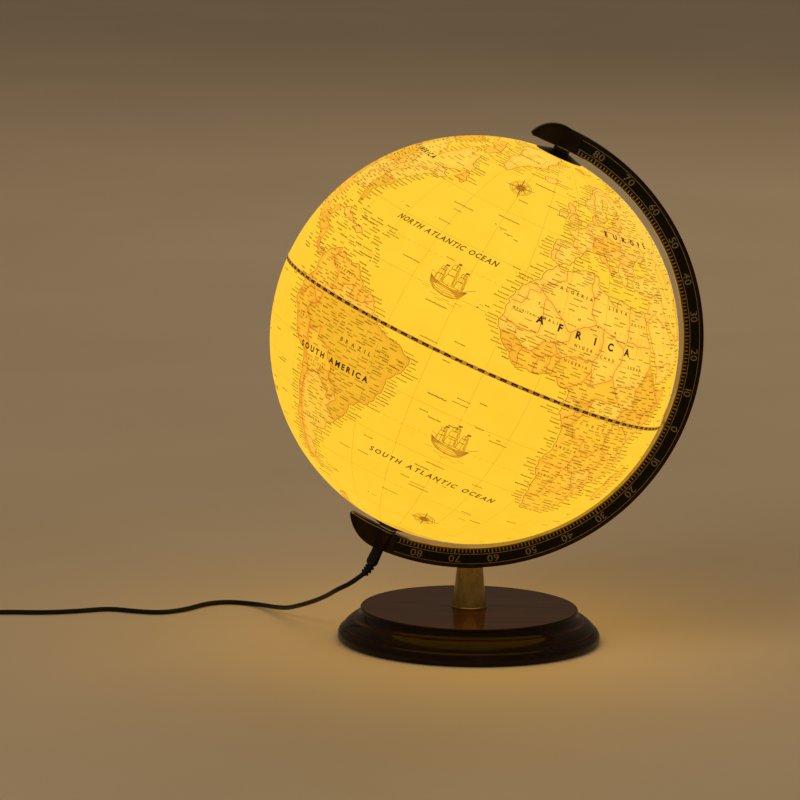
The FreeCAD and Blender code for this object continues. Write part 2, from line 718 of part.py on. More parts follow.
PARTS = {
    "felt_pad": felt_pad(),
    "base": base(),
    "base_bolt": base_bolt(),
    "lock_washer": lock_washer(),
    "bolt_washer": bolt_washer(),
    "locating_pins": locating_pins(),
    "post": post(),
    "arm_pins": arm_pins(),
    "threaded_insert": threaded_insert(),
    "meridian_arm": meridian_arm(),
    "scale_front": graduated_strip(-1),
    "scale_back": graduated_strip(1),
    "north_pin": north_pin(),
    "thrust_washer": thrust_washer(),
    "grub_screw": grub_screw(),
    "lamp_tube": lamp_tube(),
    "lamp_holder": lamp_holder(),
    "led_board": led_board(),
    "leds": leds(),
    "board_screws": board_screws(),
    "diffuser": diffuser(),
    "lead_wires": lead_wires(),
    "dc_jack": dc_jack(),
    "jack_pin": jack_pin(),
    "north_hemisphere": hemisphere(1, NORTH_HOLE),
    "south_hemisphere": hemisphere(-1, SOUTH_HOLE),
    "equator_tape": equator_tape(),
    "joining_ring": joining_ring(),
    "north_bush": bush(1, NORTH_PIN_R + RUNNING, NORTH_HOLE, 14.0),
    "south_bush": bush(-1, TUBE_R + RUNNING, SOUTH_HOLE, 17.0),
    "north_collar": collar(1, 2.5, 6.5, 152.7),
    "south_collar": collar(-1, 4.9, 7.2, 152.9),
    "dc_plug": dc_plug(),
    "plug_barrel": plug_barrel(),
    "strain_relief": strain_relief(),
    "cord_lead": cord_tube(lead_route(), "cord_lead"),
    "cord_link": cord_tube(LINK_ROUTE, "cord_link"),
    "cord_tail": cord_tube(TAIL_ROUTE, "cord_tail"),
    "cord_coil": cord_coil(),
    "cord_tie": cord_tie(),
    "switch_case_bottom": switch_case_bottom(),
    "switch_case_top": switch_case_top(),
    "switch_rocker": switch_rocker(),
    "switch_screws": switch_screws(),
    "switch_contacts": switch_contacts(),
    "usb_body": usb_body(),
    "usb_shell": usb_shell(),
    "usb_tongue": usb_tongue(),
}

os.makedirs("parts", exist_ok=True)
for name, shape in PARTS.items():
    save(name, shape)
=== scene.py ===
import json
import math
import random

import bpy
from mathutils import Matrix, Vector
from mathutils.geometry import delaunay_2d_cdt, intersect_point_tri_2d
from mathutils.kdtree import KDTree


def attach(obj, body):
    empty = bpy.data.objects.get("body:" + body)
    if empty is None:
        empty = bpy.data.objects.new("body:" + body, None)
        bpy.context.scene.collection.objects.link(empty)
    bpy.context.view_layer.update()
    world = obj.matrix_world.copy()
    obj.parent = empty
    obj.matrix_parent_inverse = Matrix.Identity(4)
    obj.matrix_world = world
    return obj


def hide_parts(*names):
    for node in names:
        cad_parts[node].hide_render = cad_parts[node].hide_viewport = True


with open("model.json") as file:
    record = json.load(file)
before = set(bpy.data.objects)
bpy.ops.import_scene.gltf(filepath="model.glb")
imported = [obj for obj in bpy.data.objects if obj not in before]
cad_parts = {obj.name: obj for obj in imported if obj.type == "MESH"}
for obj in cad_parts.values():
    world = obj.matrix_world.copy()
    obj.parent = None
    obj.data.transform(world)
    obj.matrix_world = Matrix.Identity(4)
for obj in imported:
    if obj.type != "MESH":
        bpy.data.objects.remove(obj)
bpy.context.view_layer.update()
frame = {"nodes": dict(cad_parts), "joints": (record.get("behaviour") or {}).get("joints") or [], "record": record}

# An illuminated desk globe with an antique-style map, on a turned wooden base.
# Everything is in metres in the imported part's frame. Sizes are written in millimetres and
# scaled by MM. The map is drawn in degrees of longitude and latitude.

MM = 0.001
SCENE = bpy.context.scene
NODES = frame["nodes"]
SPIN = next(j for j in frame["joints"] if j["name"] == "globe_spin")
CENTRE = Vector(SPIN["pos_m"])
POLE = Vector(SPIN["axis"]).normalized()
FRONT = Vector((0, -1, 0))
EAST = POLE.cross(FRONT)             # in the equator's plane, a quarter turn east of the front
GLOBE_R = 150 * MM
DEGREE = 1000 * GLOBE_R * math.radians(1)    # a degree of latitude, in millimetres
GLOBE_WALL = 2.2 * MM
FRONT_LON = -14.1                    # the meridian that faces the front

WEST_EDGE, EAST_EDGE = -169.0, 191.0         # the map's seam, in the Bering Strait
SOUTH_EDGE, NORTH_EDGE = -86.18, 87.33       # rims of the holes at the poles

ARM_CENTRE = CENTRE - 2.0 * MM * EAST        # the meridian arm is not quite concentric
INNER_EDGE = 155.7                           # radius just outside the arm's inner face
SCALE_FACE = 4.85                            # its graduated strips lie this far from the middle
SCALE_END = 85.6                             # degrees of latitude where the print ends


# ---- camera ----
AZIMUTH, ELEVATION, ROLL = 2.87, 9.63, 0.94
DISTANCE = 4.024
LENS = 246.45
AIM = (0, 0, 0.2)
AIM_LEFT, AIM_BELOW = 53.71 * MM, 20.38 * MM     # from there to the view's middle


def add_camera():
    az, el, roll = (math.radians(v) for v in (AZIMUTH, ELEVATION, ROLL))
    ahead = Vector((math.sin(az) * math.cos(el), math.cos(az) * math.cos(el), -math.sin(el)))
    right = ahead.cross(Vector((0, 0, 1))).normalized()
    up = right.cross(ahead)
    target = Vector(AIM) - AIM_LEFT * right - AIM_BELOW * up
    camera = bpy.data.objects.new("camera", bpy.data.cameras.new("camera"))
    camera.data.lens = LENS
    camera.data.sensor_width = 36
    camera.data.clip_end = 60
    right, up = (right * math.cos(roll) + up * math.sin(roll),
                 up * math.cos(roll) - right * math.sin(roll))
    turn = Matrix((right, up, -ahead)).transposed()
    camera.matrix_world = Matrix.Translation(target - DISTANCE * ahead) @ turn.to_4x4()
    SCENE.collection.objects.link(camera)
    SCENE.camera = camera


add_camera()


# ---- materials ----
class Surface:
    """A Principled material. Its methods add procedural pattern to it."""

    def __init__(self, name, colour, roughness, **sockets):
        self.material = bpy.data.materials.new(name)
        self.material.use_nodes = True
        self.tree = self.material.node_tree
        self.bsdf = self.tree.nodes["Principled BSDF"]
        self.bsdf.inputs["Base Color"].default_value = (*colour, 1)
        self.bsdf.inputs["Roughness"].default_value = roughness
        for socket, value in sockets.items():
            value = (*value, 1) if isinstance(value, tuple) else value
            self.bsdf.inputs[socket.replace("_", " ")].default_value = value

    def node(self, kind, inputs, **settings):
        """Adds a node. An input is another node's socket, or a value."""
        made = self.tree.nodes.new("ShaderNode" + kind)
        for key, value in settings.items():
            setattr(made, key, value)
        for key, value in inputs.items():
            if isinstance(value, bpy.types.NodeSocket):
                self.tree.links.new(value, made.inputs[key])
            else:
                made.inputs[key].default_value = value
        return made

    def place(self, output="Object"):
        return self.node("TexCoord", {}).outputs[output]

    def maths(self, kind, *values):
        return self.node("Math", dict(enumerate(values)), operation=kind).outputs[0]

    def vector_maths(self, kind, *values, output="Vector"):
        return self.node("VectorMath", dict(enumerate(values)), operation=kind).outputs[output]

    def mix(self, first, second, factor=1.0, kind="MULTIPLY"):
        """Two colours multiplied, or with kind MIX the second over the first."""
        inputs = {"Fac": factor, "Color1": first, "Color2": second}
        return self.node("MixRGB", inputs, blend_type=kind).outputs["Color"]

    def noise(self, size, stretch=(1, 1, 1), detail=4, distortion=0.0):
        """Noise with features of that size in millimetres, drawn out along an axis."""
        scale = [1 / (size * MM * s) for s in stretch]
        mapped = self.node("Mapping", {"Vector": self.place(), "Scale": scale})
        made = self.node("TexNoise", {"Vector": mapped.outputs["Vector"], "Scale": 1.0,
                                      "Detail": detail, "Distortion": distortion})
        return made.outputs["Fac"]

    def ramp(self, factor, *stops):
        made = self.node("ValToRGB", {"Fac": factor})
        points = made.color_ramp.elements
        while len(points) < len(stops):
            points.new(0.5)
        for point, (place, colour) in zip(points, stops):
            point.position = place
            point.color = (*colour, 1)
        return made.outputs["Color"]

    def spread(self, factor, low, high, start=0.3, end=0.7):
        """The factor's middle, stretched over the range from low to high."""
        made = self.node("MapRange", {"Value": factor, "From Min": start, "From Max": end,
                                      "To Min": low, "To Max": high})
        return made.outputs["Result"]

    def link(self, socket, source):
        self.tree.links.new(source, self.bsdf.inputs[socket])

    def colour(self, factor, *stops):
        self.link("Base Color", self.ramp(factor, *stops))

    def rough(self, factor, low, high):
        self.link("Roughness", self.spread(factor, low, high))

    def bump(self, height, depth, socket="Normal"):
        """Relief of that depth in millimetres, on top of any bump made before."""
        target = self.bsdf.inputs[socket]
        inputs = {"Height": height, "Strength": 1.0, "Distance": depth * MM}
        if target.links:
            inputs["Normal"] = target.links[0].from_socket
        self.tree.links.new(self.node("Bump", inputs).outputs["Normal"], target)


def felt(slot):
    made = Surface(slot, (0.03, 0.028, 0.025), 0.95, Sheen_Weight=0.4, Sheen_Roughness=0.6)
    fibres = made.noise(0.5, detail=6)
    made.colour(fibres, (0.3, (0.018, 0.016, 0.014)), (0.7, (0.05, 0.045, 0.04)))
    made.bump(fibres, 0.3)
    return made.material


def lacquered_wood(slot):
    """Mahogany under a polished coat, with painted light: a near-black shaded copy of the grain on the sides and a
    lighter copy on the flat top, as though lit from above.
    """
    made = Surface(slot, (0.04, 0.014, 0.006), 0.5, Coat_Weight=0.38, Coat_Roughness=0.06,
                   Coat_IOR=1.4, Specular_IOR_Level=0.05)
    grain = made.noise(2.4, stretch=(28, 1, 1), detail=8, distortion=0.6)
    # Painted light and shade: the same grain in a dark shaded copy for the sides and a lighter lit copy for the
    # upward-facing top, chosen by the normal.
    edge = made.ramp(grain, (0.35, (0.004, 0.0012, 0.0004)), (0.5, (0.009, 0.0026, 0.0006)),
                     (0.66, (0.018, 0.0052, 0.0010)))
    top = made.ramp(grain, (0.35, (0.020, 0.0050, 0.0006)), (0.5, (0.042, 0.0110, 0.0009)),
                    (0.66, (0.070, 0.0200, 0.0016)))
    top_light_mask = made.node("SeparateXYZ", {"Vector": made.place("Normal")}).outputs["Z"]
    made.link("Base Color", made.mix(edge, top, made.spread(top_light_mask, 0, 1, 0.9, 0.98), "MIX"))
    made.bump(grain, 0.03)
    made.bump(made.noise(9.0, detail=1), 0.03, "Coat Normal")
    return made.material


def bronze(slot, dark, light, rough):
    """Antique plating: uneven in tone, with fine brushing."""
    made = Surface(slot, light, rough, Metallic=1.0)
    cloud = made.noise(7.0, detail=5)
    made.colour(cloud, (0.35, dark), (0.65, light))
    made.rough(made.noise(1.2, stretch=(1, 1, 6)), rough - 0.06, rough + 0.08)
    made.bump(made.noise(0.35, stretch=(1, 1, 8)), 0.006)
    return made.material


def arm_bronze(slot):
    """Dark bronze, with a painted highlight: a thin bright band along the arm's inner edge, where the globe's glow
    catches the rim.
    """
    made = Surface(slot, (0.03, 0.02, 0.01), 0.40, Metallic=1.0)
    spoke = made.vector_maths("SUBTRACT", made.place(), ARM_CENTRE)
    radius = made.vector_maths("LENGTH", made.vector_maths("MULTIPLY", spoke, (1, 0, 1)), output="Value")
    # A thin band at the arm's inner edge is painted bright: a painted highlight standing for the globe's glow
    # caught on the rim.
    above = made.spread(radius, 0, 1, (INNER_EDGE - 0.5) * MM, (INNER_EDGE - 0.3) * MM)
    below = made.spread(radius, 1, 0, INNER_EDGE * MM, (INNER_EDGE + 0.4) * MM)
    painted_rim_highlight = made.maths("MULTIPLY", above, below)
    tone = made.ramp(made.noise(9.0), (0.35, (0.026, 0.017, 0.008)), (0.65, (0.042, 0.028, 0.013)))
    made.link("Base Color", made.mix(tone, (0.46, 0.38, 0.30, 1), painted_rim_highlight, "MIX"))
    made.rough(made.noise(1.2, stretch=(1, 1, 6)), 0.34, 0.46)
    made.bump(made.noise(0.35, stretch=(1, 1, 8)), 0.004)
    return made.material


def metal(slot, colour, rough, lines=(1, 1, 6)):
    made = Surface(slot, colour, rough, Metallic=1.0)
    shade = made.noise(0.5, stretch=lines)
    made.colour(shade, (0.3, tuple(0.82 * c for c in colour)), (0.7, colour))
    made.rough(shade, rough - 0.05, rough + 0.08)
    made.bump(shade, 0.008)
    return made.material


def plastic(slot, colour, rough, texture=0.02, size=0.4, gloss=0.45):
    """Moulded plastic or rubber with a fine spark-eroded texture."""
    made = Surface(slot, colour, rough, Specular_IOR_Level=gloss)
    grain = made.noise(size, detail=5)
    made.colour(made.noise(6.0), (0.35, tuple(0.8 * c for c in colour)), (0.7, colour))
    made.rough(grain, rough - 0.05, rough + 0.07)
    made.bump(grain, texture)
    return made.material


def woven_band(slot):
    made = Surface(slot, (0.02, 0.02, 0.022), 0.85, Sheen_Weight=0.5)
    threads = [made.node("TexWave", {"Vector": made.place(), "Scale": 1 / (6.3 * MM)},
                         bands_direction=way).outputs["Fac"] for way in ("X", "Y")]
    weave = made.maths("MULTIPLY", *threads)
    made.colour(weave, (0.2, (0.008, 0.008, 0.009)), (0.8, (0.04, 0.04, 0.043)))
    made.bump(weave, 0.15)
    return made.material


def circuit_board(slot):
    made = Surface(slot, (0.85, 0.86, 0.84), 0.35, Coat_Weight=0.3)
    made.colour(made.noise(0.8), (0.3, (0.75, 0.77, 0.74)), (0.7, (0.88, 0.89, 0.87)))
    made.bump(made.noise(1.5), 0.03)
    return made.material


def phosphor(slot):
    made = Surface(slot, (0.95, 0.72, 0.15), 0.5, Emission_Strength=4.0, Emission_Color=(1.0, 0.72, 0.3))
    made.colour(made.noise(0.4), (0.3, (0.9, 0.62, 0.1)), (0.7, (1.0, 0.8, 0.25)))
    return made.material


def frosted(slot):
    made = Surface(slot, (0.95, 0.93, 0.88), 0.6, Transmission_Weight=0.4,
                   Emission_Color=(1.0, 0.76, 0.38), Emission_Strength=1.0)
    made.bump(made.noise(0.3), 0.02)
    return made.material


BLACK = (0.007, 0.007, 0.007)
# For each slot, the function that makes its material and what that is given.
MATERIALS = {
    "felt": (felt,),
    "lacquered_wood": (lacquered_wood,),
    "zinc_steel": (metal, (0.62, 0.62, 0.60), 0.32),
    "antique_bronze": (bronze, (0.30, 0.195, 0.060), (0.39, 0.26, 0.085), 0.30),
    "arm_enamel": (arm_bronze,),
    "scale_print": (plastic, (0.004, 0.003, 0.002), 0.45, 0.006, 0.4, 0.15),
    "insert_brass": (metal, (0.72, 0.52, 0.22), 0.25),
    "spindle_steel": (metal, (0.6, 0.6, 0.6), 0.2),
    "nylon": (plastic, (0.82, 0.80, 0.74), 0.5),
    "black_cap": (plastic, (0.007, 0.006, 0.005), 0.30, 0.01, 0.6, 0.3),
    "inner_ring": (plastic, (0.9, 0.88, 0.82), 0.5),
    "lamp_white": (plastic, (0.88, 0.88, 0.86), 0.4),
    "board": (circuit_board,),
    "led_yellow": (phosphor,),
    "frosted": (frosted,),
    "wire_red": (plastic, (0.45, 0.03, 0.02), 0.4),
    "jack_plastic": (plastic, BLACK, 0.45),
    "plated": (metal, (0.8, 0.79, 0.76), 0.15),
    "cord_pvc": (plastic, BLACK, 0.40, 0.02, 0.7, 0.25),
    "plug_pvc": (plastic, (0.008, 0.0075, 0.007), 0.42, 0.03, 0.5, 0.25),
    "switch_plastic": (plastic, (0.018, 0.018, 0.018), 0.5, 0.05, 0.6),
    "rocker_plastic": (plastic, (0.022, 0.022, 0.022), 0.22, 0.006, 1.5),
    "contact_brass": (metal, (0.72, 0.55, 0.26), 0.25),
    "usb_steel": (metal, (0.7, 0.7, 0.7), 0.28, (1, 8, 1)),
    "usb_insert": (plastic, (0.85, 0.85, 0.85), 0.3),
    "tie_band": (woven_band,),
}


def finish_nodes():
    """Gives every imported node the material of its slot, and returns the materials."""
    made = {slot: make(slot, *given) for slot, (make, *given) in MATERIALS.items()}
    for part in frame["record"]["subparts"]:
        if part["material_slot"] in made:
            for place in NODES[part["node"]].material_slots:
                place.material = made[part["material_slot"]]
    return made


made_materials = finish_nodes()


# ---- cord ----
# The route's points, in millimetres, where the cord isn't coiled.
RELIEF_END = (-78.7, 0, 49.3)
CORD_ROUTE = [
    RELIEF_END, (-87.7, 0, 42.1), (-97.5, 7.5, 36.0), (-104.0, 21.0, 28.7), (-112.5, 38.0, 21.0),
    (-124.0, 58.0, 13.0), (-134.5, 80.0, 6.0), (-154.0, 116.0, 1.8), (-176.0, 125.0, 1.8),
    (-193.5, 116.5, 1.8), (-208.0, 95.0, 1.8), (-227.0, 82.0, 1.8), (-247.0, 87.0, 1.8),
    (-266.0, 96.5, 1.8), (-287.0, 87.5, 1.8), (-313.0, 80.0, 1.8), (-347.0, 82.0, 1.8),
    (-370.0, 74.0, 2.2), (-381.5, 56.0, 4.4), (-384.0, 40.0, 6.0), (-384.0, 25.0, 6.0),
    (-384.0, -23.0, 6.0), (-383.9, -37.0, 5.8), (-379.0, -52.0, 3.4), (-371.5, -66.0, 1.8),
    (-366.5, -80.0, 1.8), (-365.25, -92.0, 1.8),
]
CORD_TAIL = [(-410.75, -92.0, 8.8), (-411.6, -80.0, 7.2), (-411.2, -69.0, 5.2), (-411.0, -60.0, 4.3)]
COIL_CENTRE = (-388.0, -95.0)
COIL_TURNS = [(22.75, 1.8), (19.25, 1.8), (15.75, 1.8), (15.75, 5.3), (19.25, 5.3), (22.75, 5.3),
              (19.25, 8.8), (22.75, 8.8)]      # radius and height of each turn, wound in layers
COIL_STEPS = 16                                # control points to a turn
CORD_WIDTH = 3.5
TIE_LIFT = {1.8: 0.75, 5.3: 0.55, 8.8: 0.3}    # each layer rises over the tie, and is squeezed


def coil_points():
    """Seven and a half clockwise turns. Each moves over to its own radius in its first fifth."""
    widen = 8 / (6 + 2 * math.cos(2 * math.pi / COIL_STEPS))    # the spline cuts inside its points
    points = []
    for k, (radius, height) in enumerate(COIL_TURNS):
        last_radius, last_height = COIL_TURNS[max(k - 1, 0)]
        half_turn = k == len(COIL_TURNS) - 1
        for step in range(COIL_STEPS // 2 if half_turn else COIL_STEPS):
            if k == 0 and step == 0:
                continue
            over = min(1.0, step / 3)
            r = widen * (last_radius + over * (radius - last_radius))
            z = last_height + over * (height - last_height)
            turn = 360 * step / COIL_STEPS
            near_tie = max(0.0, 1 - abs(turn - 90) / 45)
            a = math.radians(-turn)
            points.append((COIL_CENTRE[0] + r * math.cos(a), COIL_CENTRE[1] + r * math.sin(a),
                           z + near_tie * TIE_LIFT[height]))
    return points


def add_cord():
    points = CORD_ROUTE + coil_points() + CORD_TAIL
    curve = bpy.data.curves.new("power_cord", "CURVE")
    curve.dimensions = "3D"
    curve.bevel_depth = 0.5 * CORD_WIDTH * MM
    curve.bevel_resolution = 5
    curve.resolution_u = 6
    curve.use_fill_caps = True
    spline = curve.splines.new("NURBS")
    spline.points.add(len(points) - 1)
    for place, point in zip(spline.points, points):
        place.co = (*(v * MM for v in point), 1)
    spline.order_u = 3
    spline.use_endpoint_u = True
    curve.materials.append(made_materials["cord_pvc"])
    cord = bpy.data.objects.new("power_cord", curve)
    SCENE.collection.objects.link(cord)
    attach(cord, "stand")
    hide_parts("cord_lead", "cord_link", "cord_tail", "cord_coil")


add_cord()


# ---- map: simplified outlines, in degrees of longitude and latitude ----
LAND = {
    "africa": """
    -6,35.8 -2,35.1 3,36.9 10,37.3 11,34 15,32.3 19,30.3 20,32.7 25,31.7 29,31 32.5,31.2 32.6,30 33.5,28
    35.5,24 37.2,21 37.3,18.8 39.5,15.5 43.2,12.5 43,11.5 47,11.2 51.2,12 51,10.4 49,6.5 46,2.8 42,-1.2
    39.5,-4.2 39,-7 40.5,-10.8 40.6,-15 36.8,-18.5 34.8,-19.9 35.5,-23 32.9,-25.6 32.5,-28.5 30.5,-31.2
    27,-33.7 22,-34.3 18.5,-34.2 17.9,-32 16,-28 14.8,-25 14.3,-22 11.8,-17.8 13.5,-12.5 13,-9 12.2,-6
    9.5,-2.5 9.3,0.8 9.8,3.5 8.5,4.6 6,4.3 4.4,6.3 1.5,6.2 -2,4.8 -4.5,5.2 -7.6,4.4 -10.5,6.4 -13.2,8.8
    -15,11 -16.8,12.8 -17.4,14.7 -16.4,17 -16.4,20 -17,21 -16,24 -14.5,26.2 -13,27.8 -10,29.5 -9.7,31.5
    -7.5,33.7""",
    "madagascar": """
        44.3,-16.2 47,-15 49.3,-12 50.4,-15.6 49.5,-18 48,-22.5 47,-25 45.2,-25.5 43.5,-22.5
        44.4,-19.8""",
    "south america": """
    -77.4,8.6 -75.5,10.7 -71.6,12.3 -71.3,10.9 -70,11.8 -68,10.6 -64,10.3 -62,10.7 -60,8.5 -57,6 -54,5.8
    -51.7,4.3 -50,1.8 -50,0 -48,-0.8 -44.5,-2.3 -41.5,-3 -38.5,-3.7 -35.3,-5.2 -34.8,-7.5 -37,-11 -39,-13.5
    -39,-17.5 -40.5,-21 -42,-23 -45,-23.6 -48.4,-25.8 -48.7,-28.5 -51.5,-31.8 -53.5,-34 -55,-35 -57.8,-34.4
    -58.4,-34.2 -57,-36.5 -57.6,-38.2 -62,-39 -62.3,-41 -65,-41 -63.8,-42.5 -65.3,-45 -67.5,-46.2 -66,-48
    -69,-50.5 -68.4,-52.4 -65.2,-54.7 -68.5,-55.4 -72,-54 -74.5,-52 -75.5,-48.5 -74.2,-44.5 -73.7,-40
    -73.4,-37 -71.6,-33 -71.4,-29 -70.5,-25 -70.3,-18.4 -76,-14 -79,-8 -81.2,-6 -81.2,-4.3 -80,-3 -80.8,-1.5
    -80,0.8 -77.5,2.6 -77.4,4.2 -77.9,7.3""",
    "north america": """
    -77.4,8.6 -79.5,9.5 -81.8,9 -83.6,10.9 -83.4,15 -86,15.9 -88.5,15.8 -88,18.4 -87,21.4 -90.3,21.1
    -91,18.7 -94.5,18.2 -97.2,20.5 -97.8,22.5 -97.2,26 -97,28 -94,29.6 -90,29.2 -89,30.3 -85.5,29.9 -84,30
    -82.8,28 -81.8,26 -80.5,25.2 -80.2,27 -81.4,30.5 -79,33.2 -76,35 -76,37 -74.2,39.5 -72,41.2 -70,41.8
    -70.5,43.3 -67,44.7 -64,45 -66,43.6 -63.5,44.6 -60.5,46.2 -64.5,47.5 -65.2,49.2 -69,48.6 -60,50.2
    -56,51.8 -56,54 -60,55.5 -62,58 -64.5,60.3 -67.5,58.5 -70,61 -74,62.3 -78,62.4 -77.5,60 -78.5,58.5
    -76.8,57 -79,54.7 -79,51.5 -82,52.8 -82.3,55 -88,56.7 -92.5,57 -94.7,59 -94,61.5 -90,63.7 -87,65
    -86,67.5 -90,68.5 -95,68 -96,71.5 -94.5,72 -98,68 -108,68 -115,68 -124,70 -128,70 -135,69 -141,69.6
    -150,70.8 -156.5,71.3 -163,69.5 -166,68.3 -162,66.3 -168,65.6 -161.5,64.3 -164.5,63 -165.5,60.7 -162,59
    -158,58.3 -163.5,54.8 -158,56.3 -153.5,59 -151,60 -148,60.5 -140,59.8 -135.5,57.5 -131,54.8 -128,51.5
    -124,49 -124.7,48 -124,44 -124.3,40.4 -122.4,37.2 -120.6,34.6 -117.3,32.8 -115.8,30.2 -114,27.5
    -112,25.5 -110,23 -109.5,23.2 -111.3,26 -112.8,28.3 -114.7,31.5 -112.8,31 -110.5,27.8 -108,25.2
    -105.6,22 -105.6,20.3 -102,18 -96.5,15.7 -94,16.2 -91.5,14 -87.7,13 -85.8,11 -83.6,8.6 -80.2,7.4
    -78.5,8.8 -77.9,7.3""",
    "greenland": """
    -73,78.3 -68,76 -60,76 -55,72.5 -51,69.5 -53.5,66.5 -50,62 -45,60 -42.5,61.5 -40,65 -33,67.7 -24,70
    -20,75 -18,78.5 -12,81.5 -30,83.5 -50,82.3 -62,81.5""",
    "eurasia": """
    -9,37 -9.4,38.8 -8.8,43.2 -4,43.5 -1.6,43.4 -1.2,46 -4.7,48.4 -1.5,48.7 -1.2,49.6 1.5,50.3 4,51.6 5,53.3
    8.5,53.8 8.2,56.5 10.5,57.6 10.2,56 11,54.2 14,54 18.5,54.7 21,55.5 21.3,57.5 24,57.2 23.5,59.2 28,59.6
    30,60 25,60.2 22,60 21.3,62 25,65 22,65.8 17.5,62 17.2,60.7 19,59.8 16.5,56.5 14.2,55.4 12.8,55.5
    11.2,59 8,58.1 5.5,59 5,61.8 10,64 14.5,68 19,70 25.5,71.2 31,70.3 41,66.8 35,66.4 38,64 44,66 44,68.4
    53,68.5 60,69 69,68.5 67,72 72.5,72.8 75,72 82,73.5 87,75 104,77.6 113,74 127,73.3 131,71 140,72.5
    152,71 160,69.6 170,69.8 180,68.8 190,66 182,65.4 179,62.5 170,60 163.5,59.8 163,56 158,51.5 156.5,51
    155.7,56.8 164,62.5 160,61.7 155,59.3 149,59.5 142,59 135.5,54.7 141,52 140.5,49 138,46.3 135,43.5
    132,43.2 129.7,41 127.5,39.5 129.4,37 129.2,35.3 126.5,34.4 126.5,37.2 124.7,38.1 125,39.8 121.5,38.9
    121,40.8 118,39 119,37.3 122.3,37.2 119.5,35 121.8,31.7 121.7,29 119.5,25.5 116.5,22.9 113.5,22.1
    110.3,20.5 109.7,21.5 106.7,20.5 105.8,18.8 108.9,15.5 109.2,12 106.8,10.4 105,8.7 105,10.3 102.5,12
    100.9,13.4 100,11 99.3,9.3 101,6.8 103.4,4.5 104.2,1.4 103.4,1.4 101,3 100.3,6 98.3,8 98.7,11.5
    97.6,16.4 95.5,15.8 94.3,16 94,19 91.8,22.5 89,21.8 86.9,20.7 82.3,16.6 80.2,15 80.2,12.8 79.8,10.3
    77.5,8.1 76.2,10.2 74.5,14 72.8,19 72.6,21.3 70.3,20.9 69,22.3 70.3,23 67.3,24.6 66.5,25.4 61.6,25.2
    57.3,25.7 56.5,27.1 54,26.6 51.5,27.9 50.2,30 48.5,30 48,29.4 50.2,26.6 51.5,25 51.8,24.2 54,24.1
    56.2,26.2 57,24 59.8,22.4 57.8,19 55,17 52,15.6 48.5,14 45,12.8 43.4,12.7 42.7,16.5 39,21.3 37,24.5
    35,28 34.3,28 33,29.5 32.6,30 32.5,31.2 34.3,31.3 35.5,34 36,36.5 33,36.1 30.5,36.5 27.5,36.8 26.3,39.3
    29,41 35,42 41.3,41.4 37.5,44.7 38,47 35,46.3 33.3,44.6 32,46.5 30,45.5 28,43.3 28.6,41.4 26.5,40.8
    23.8,40.4 24,38 22.7,36.6 21.2,37.5 19.5,40.5 19.4,42 15.5,43.8 13.7,45.6 12.4,44.7 14,42.5 16,41.7
    18.4,40.1 16.8,39.6 17,39 16,38 15.7,39.6 12,42 9.8,44 7.5,43.9 4,43.4 3,42 0.2,40 -0.3,38.6 -2,36.8
    -5.4,36.1""",
    "great britain": """
    -5.5,50 1.3,51.2 1.6,52.8 0,53.5 -2,56 -2,57.6 -4,57.8 -3.2,58.6 -5.2,58.5 -6,56.5 -4.7,54.8 -3,54
    -4.6,53 -5.2,51.8 -3,51.4""",
    "ireland": "-6,52.2 -6,54.5 -8,55.2 -10,54 -9.8,51.6",
    "iceland": "-22.5,64 -24,65.5 -20,66 -15,66.3 -13.7,65 -18.5,63.5",
    "cuba": "-84.8,21.9 -82,23.1 -77,21 -74.2,20.2 -77.5,19.9",
    "hispaniola": "-74.4,18.5 -72.5,20 -69.8,19.6 -68.4,18.6 -71.2,17.8",
    "newfoundland": "-59.2,47.8 -56,51.5 -53,48.2 -53.7,46.7",
    "baffin": "-61.5,66 -68,70 -80,73.5 -89,73 -85,70 -72.5,67.5 -78,64.5 -66,62.2",
    "ellesmere": "-90,76.5 -78,76.3 -62,82 -75,83 -92,80.5",
    "victoria island": "-117,70 -105,69 -104,72.5 -115,73.2",
    "svalbard": "11,79.5 17,76.7 25,80",
    "novaya zemlya": "52,71 57,70.7 60,75 68,77",
    "sri lanka": "79.8,8 81.8,7.5 80.5,6",
    "sumatra": "95.3,5.6 100.5,2.2 105.9,-5.8 102,-4",
    "java": "105.3,-6.7 111,-6.5 114.4,-8.6 108,-7.8",
    "borneo": "109,1.5 113,3.3 117,7 119,5 117.5,1 116,-4 110.2,-2.9",
    "sulawesi": "119.5,-5.5 119,-2.8 120,1 125,1.5 121,-0.9 123,-4.5 121,-2.7",
    "new guinea": """
    131,-0.8 134,-3.3 138,-1.6 141,-2.6 147.8,-6 150.5,-10.5 146,-8.5 142.5,-9.3 138,-8.3
    138,-5.5 133,-4""",
    "australia": """
    113.7,-22.5 114,-26.5 115.7,-31.7 115,-34.2 118,-35 124,-33 131,-31.5 135.5,-34.8 138,-33 139.5,-36
    144,-38.5 146.4,-39 150,-37.4 151.3,-33.5 153.4,-28.5 152.5,-25 149,-20.5 146.2,-18.8 145.3,-15
    143.5,-14 142.5,-10.8 141.6,-13.5 140.8,-17.5 139,-17.3 135.5,-15 136.8,-12.2 132.5,-11.4 130,-14
    127.5,-14 122.2,-18""",
    "tasmania": "144.7,-40.8 148.2,-41 146.7,-43.5",
    "new zealand north": "172.7,-34.5 175.5,-37 178.4,-37.8 175.2,-41.5 174.6,-39.3 174.8,-37.5",
    "new zealand south": "172.8,-40.6 174.3,-41.8 171,-45.8 168.5,-46.6 166.6,-45.8 171,-42.7",
    "japan": """
    131,34 136,36.8 137,37.2 139.7,39 140.3,41 142,39.6 140.8,36 139,34.7 135.8,33.5 132,34""",
    "hokkaido": "140,42 141.7,45.4 145.2,43.3 143,42",
    "kyushu": "130,33.5 131.8,33.5 130.8,31.2",
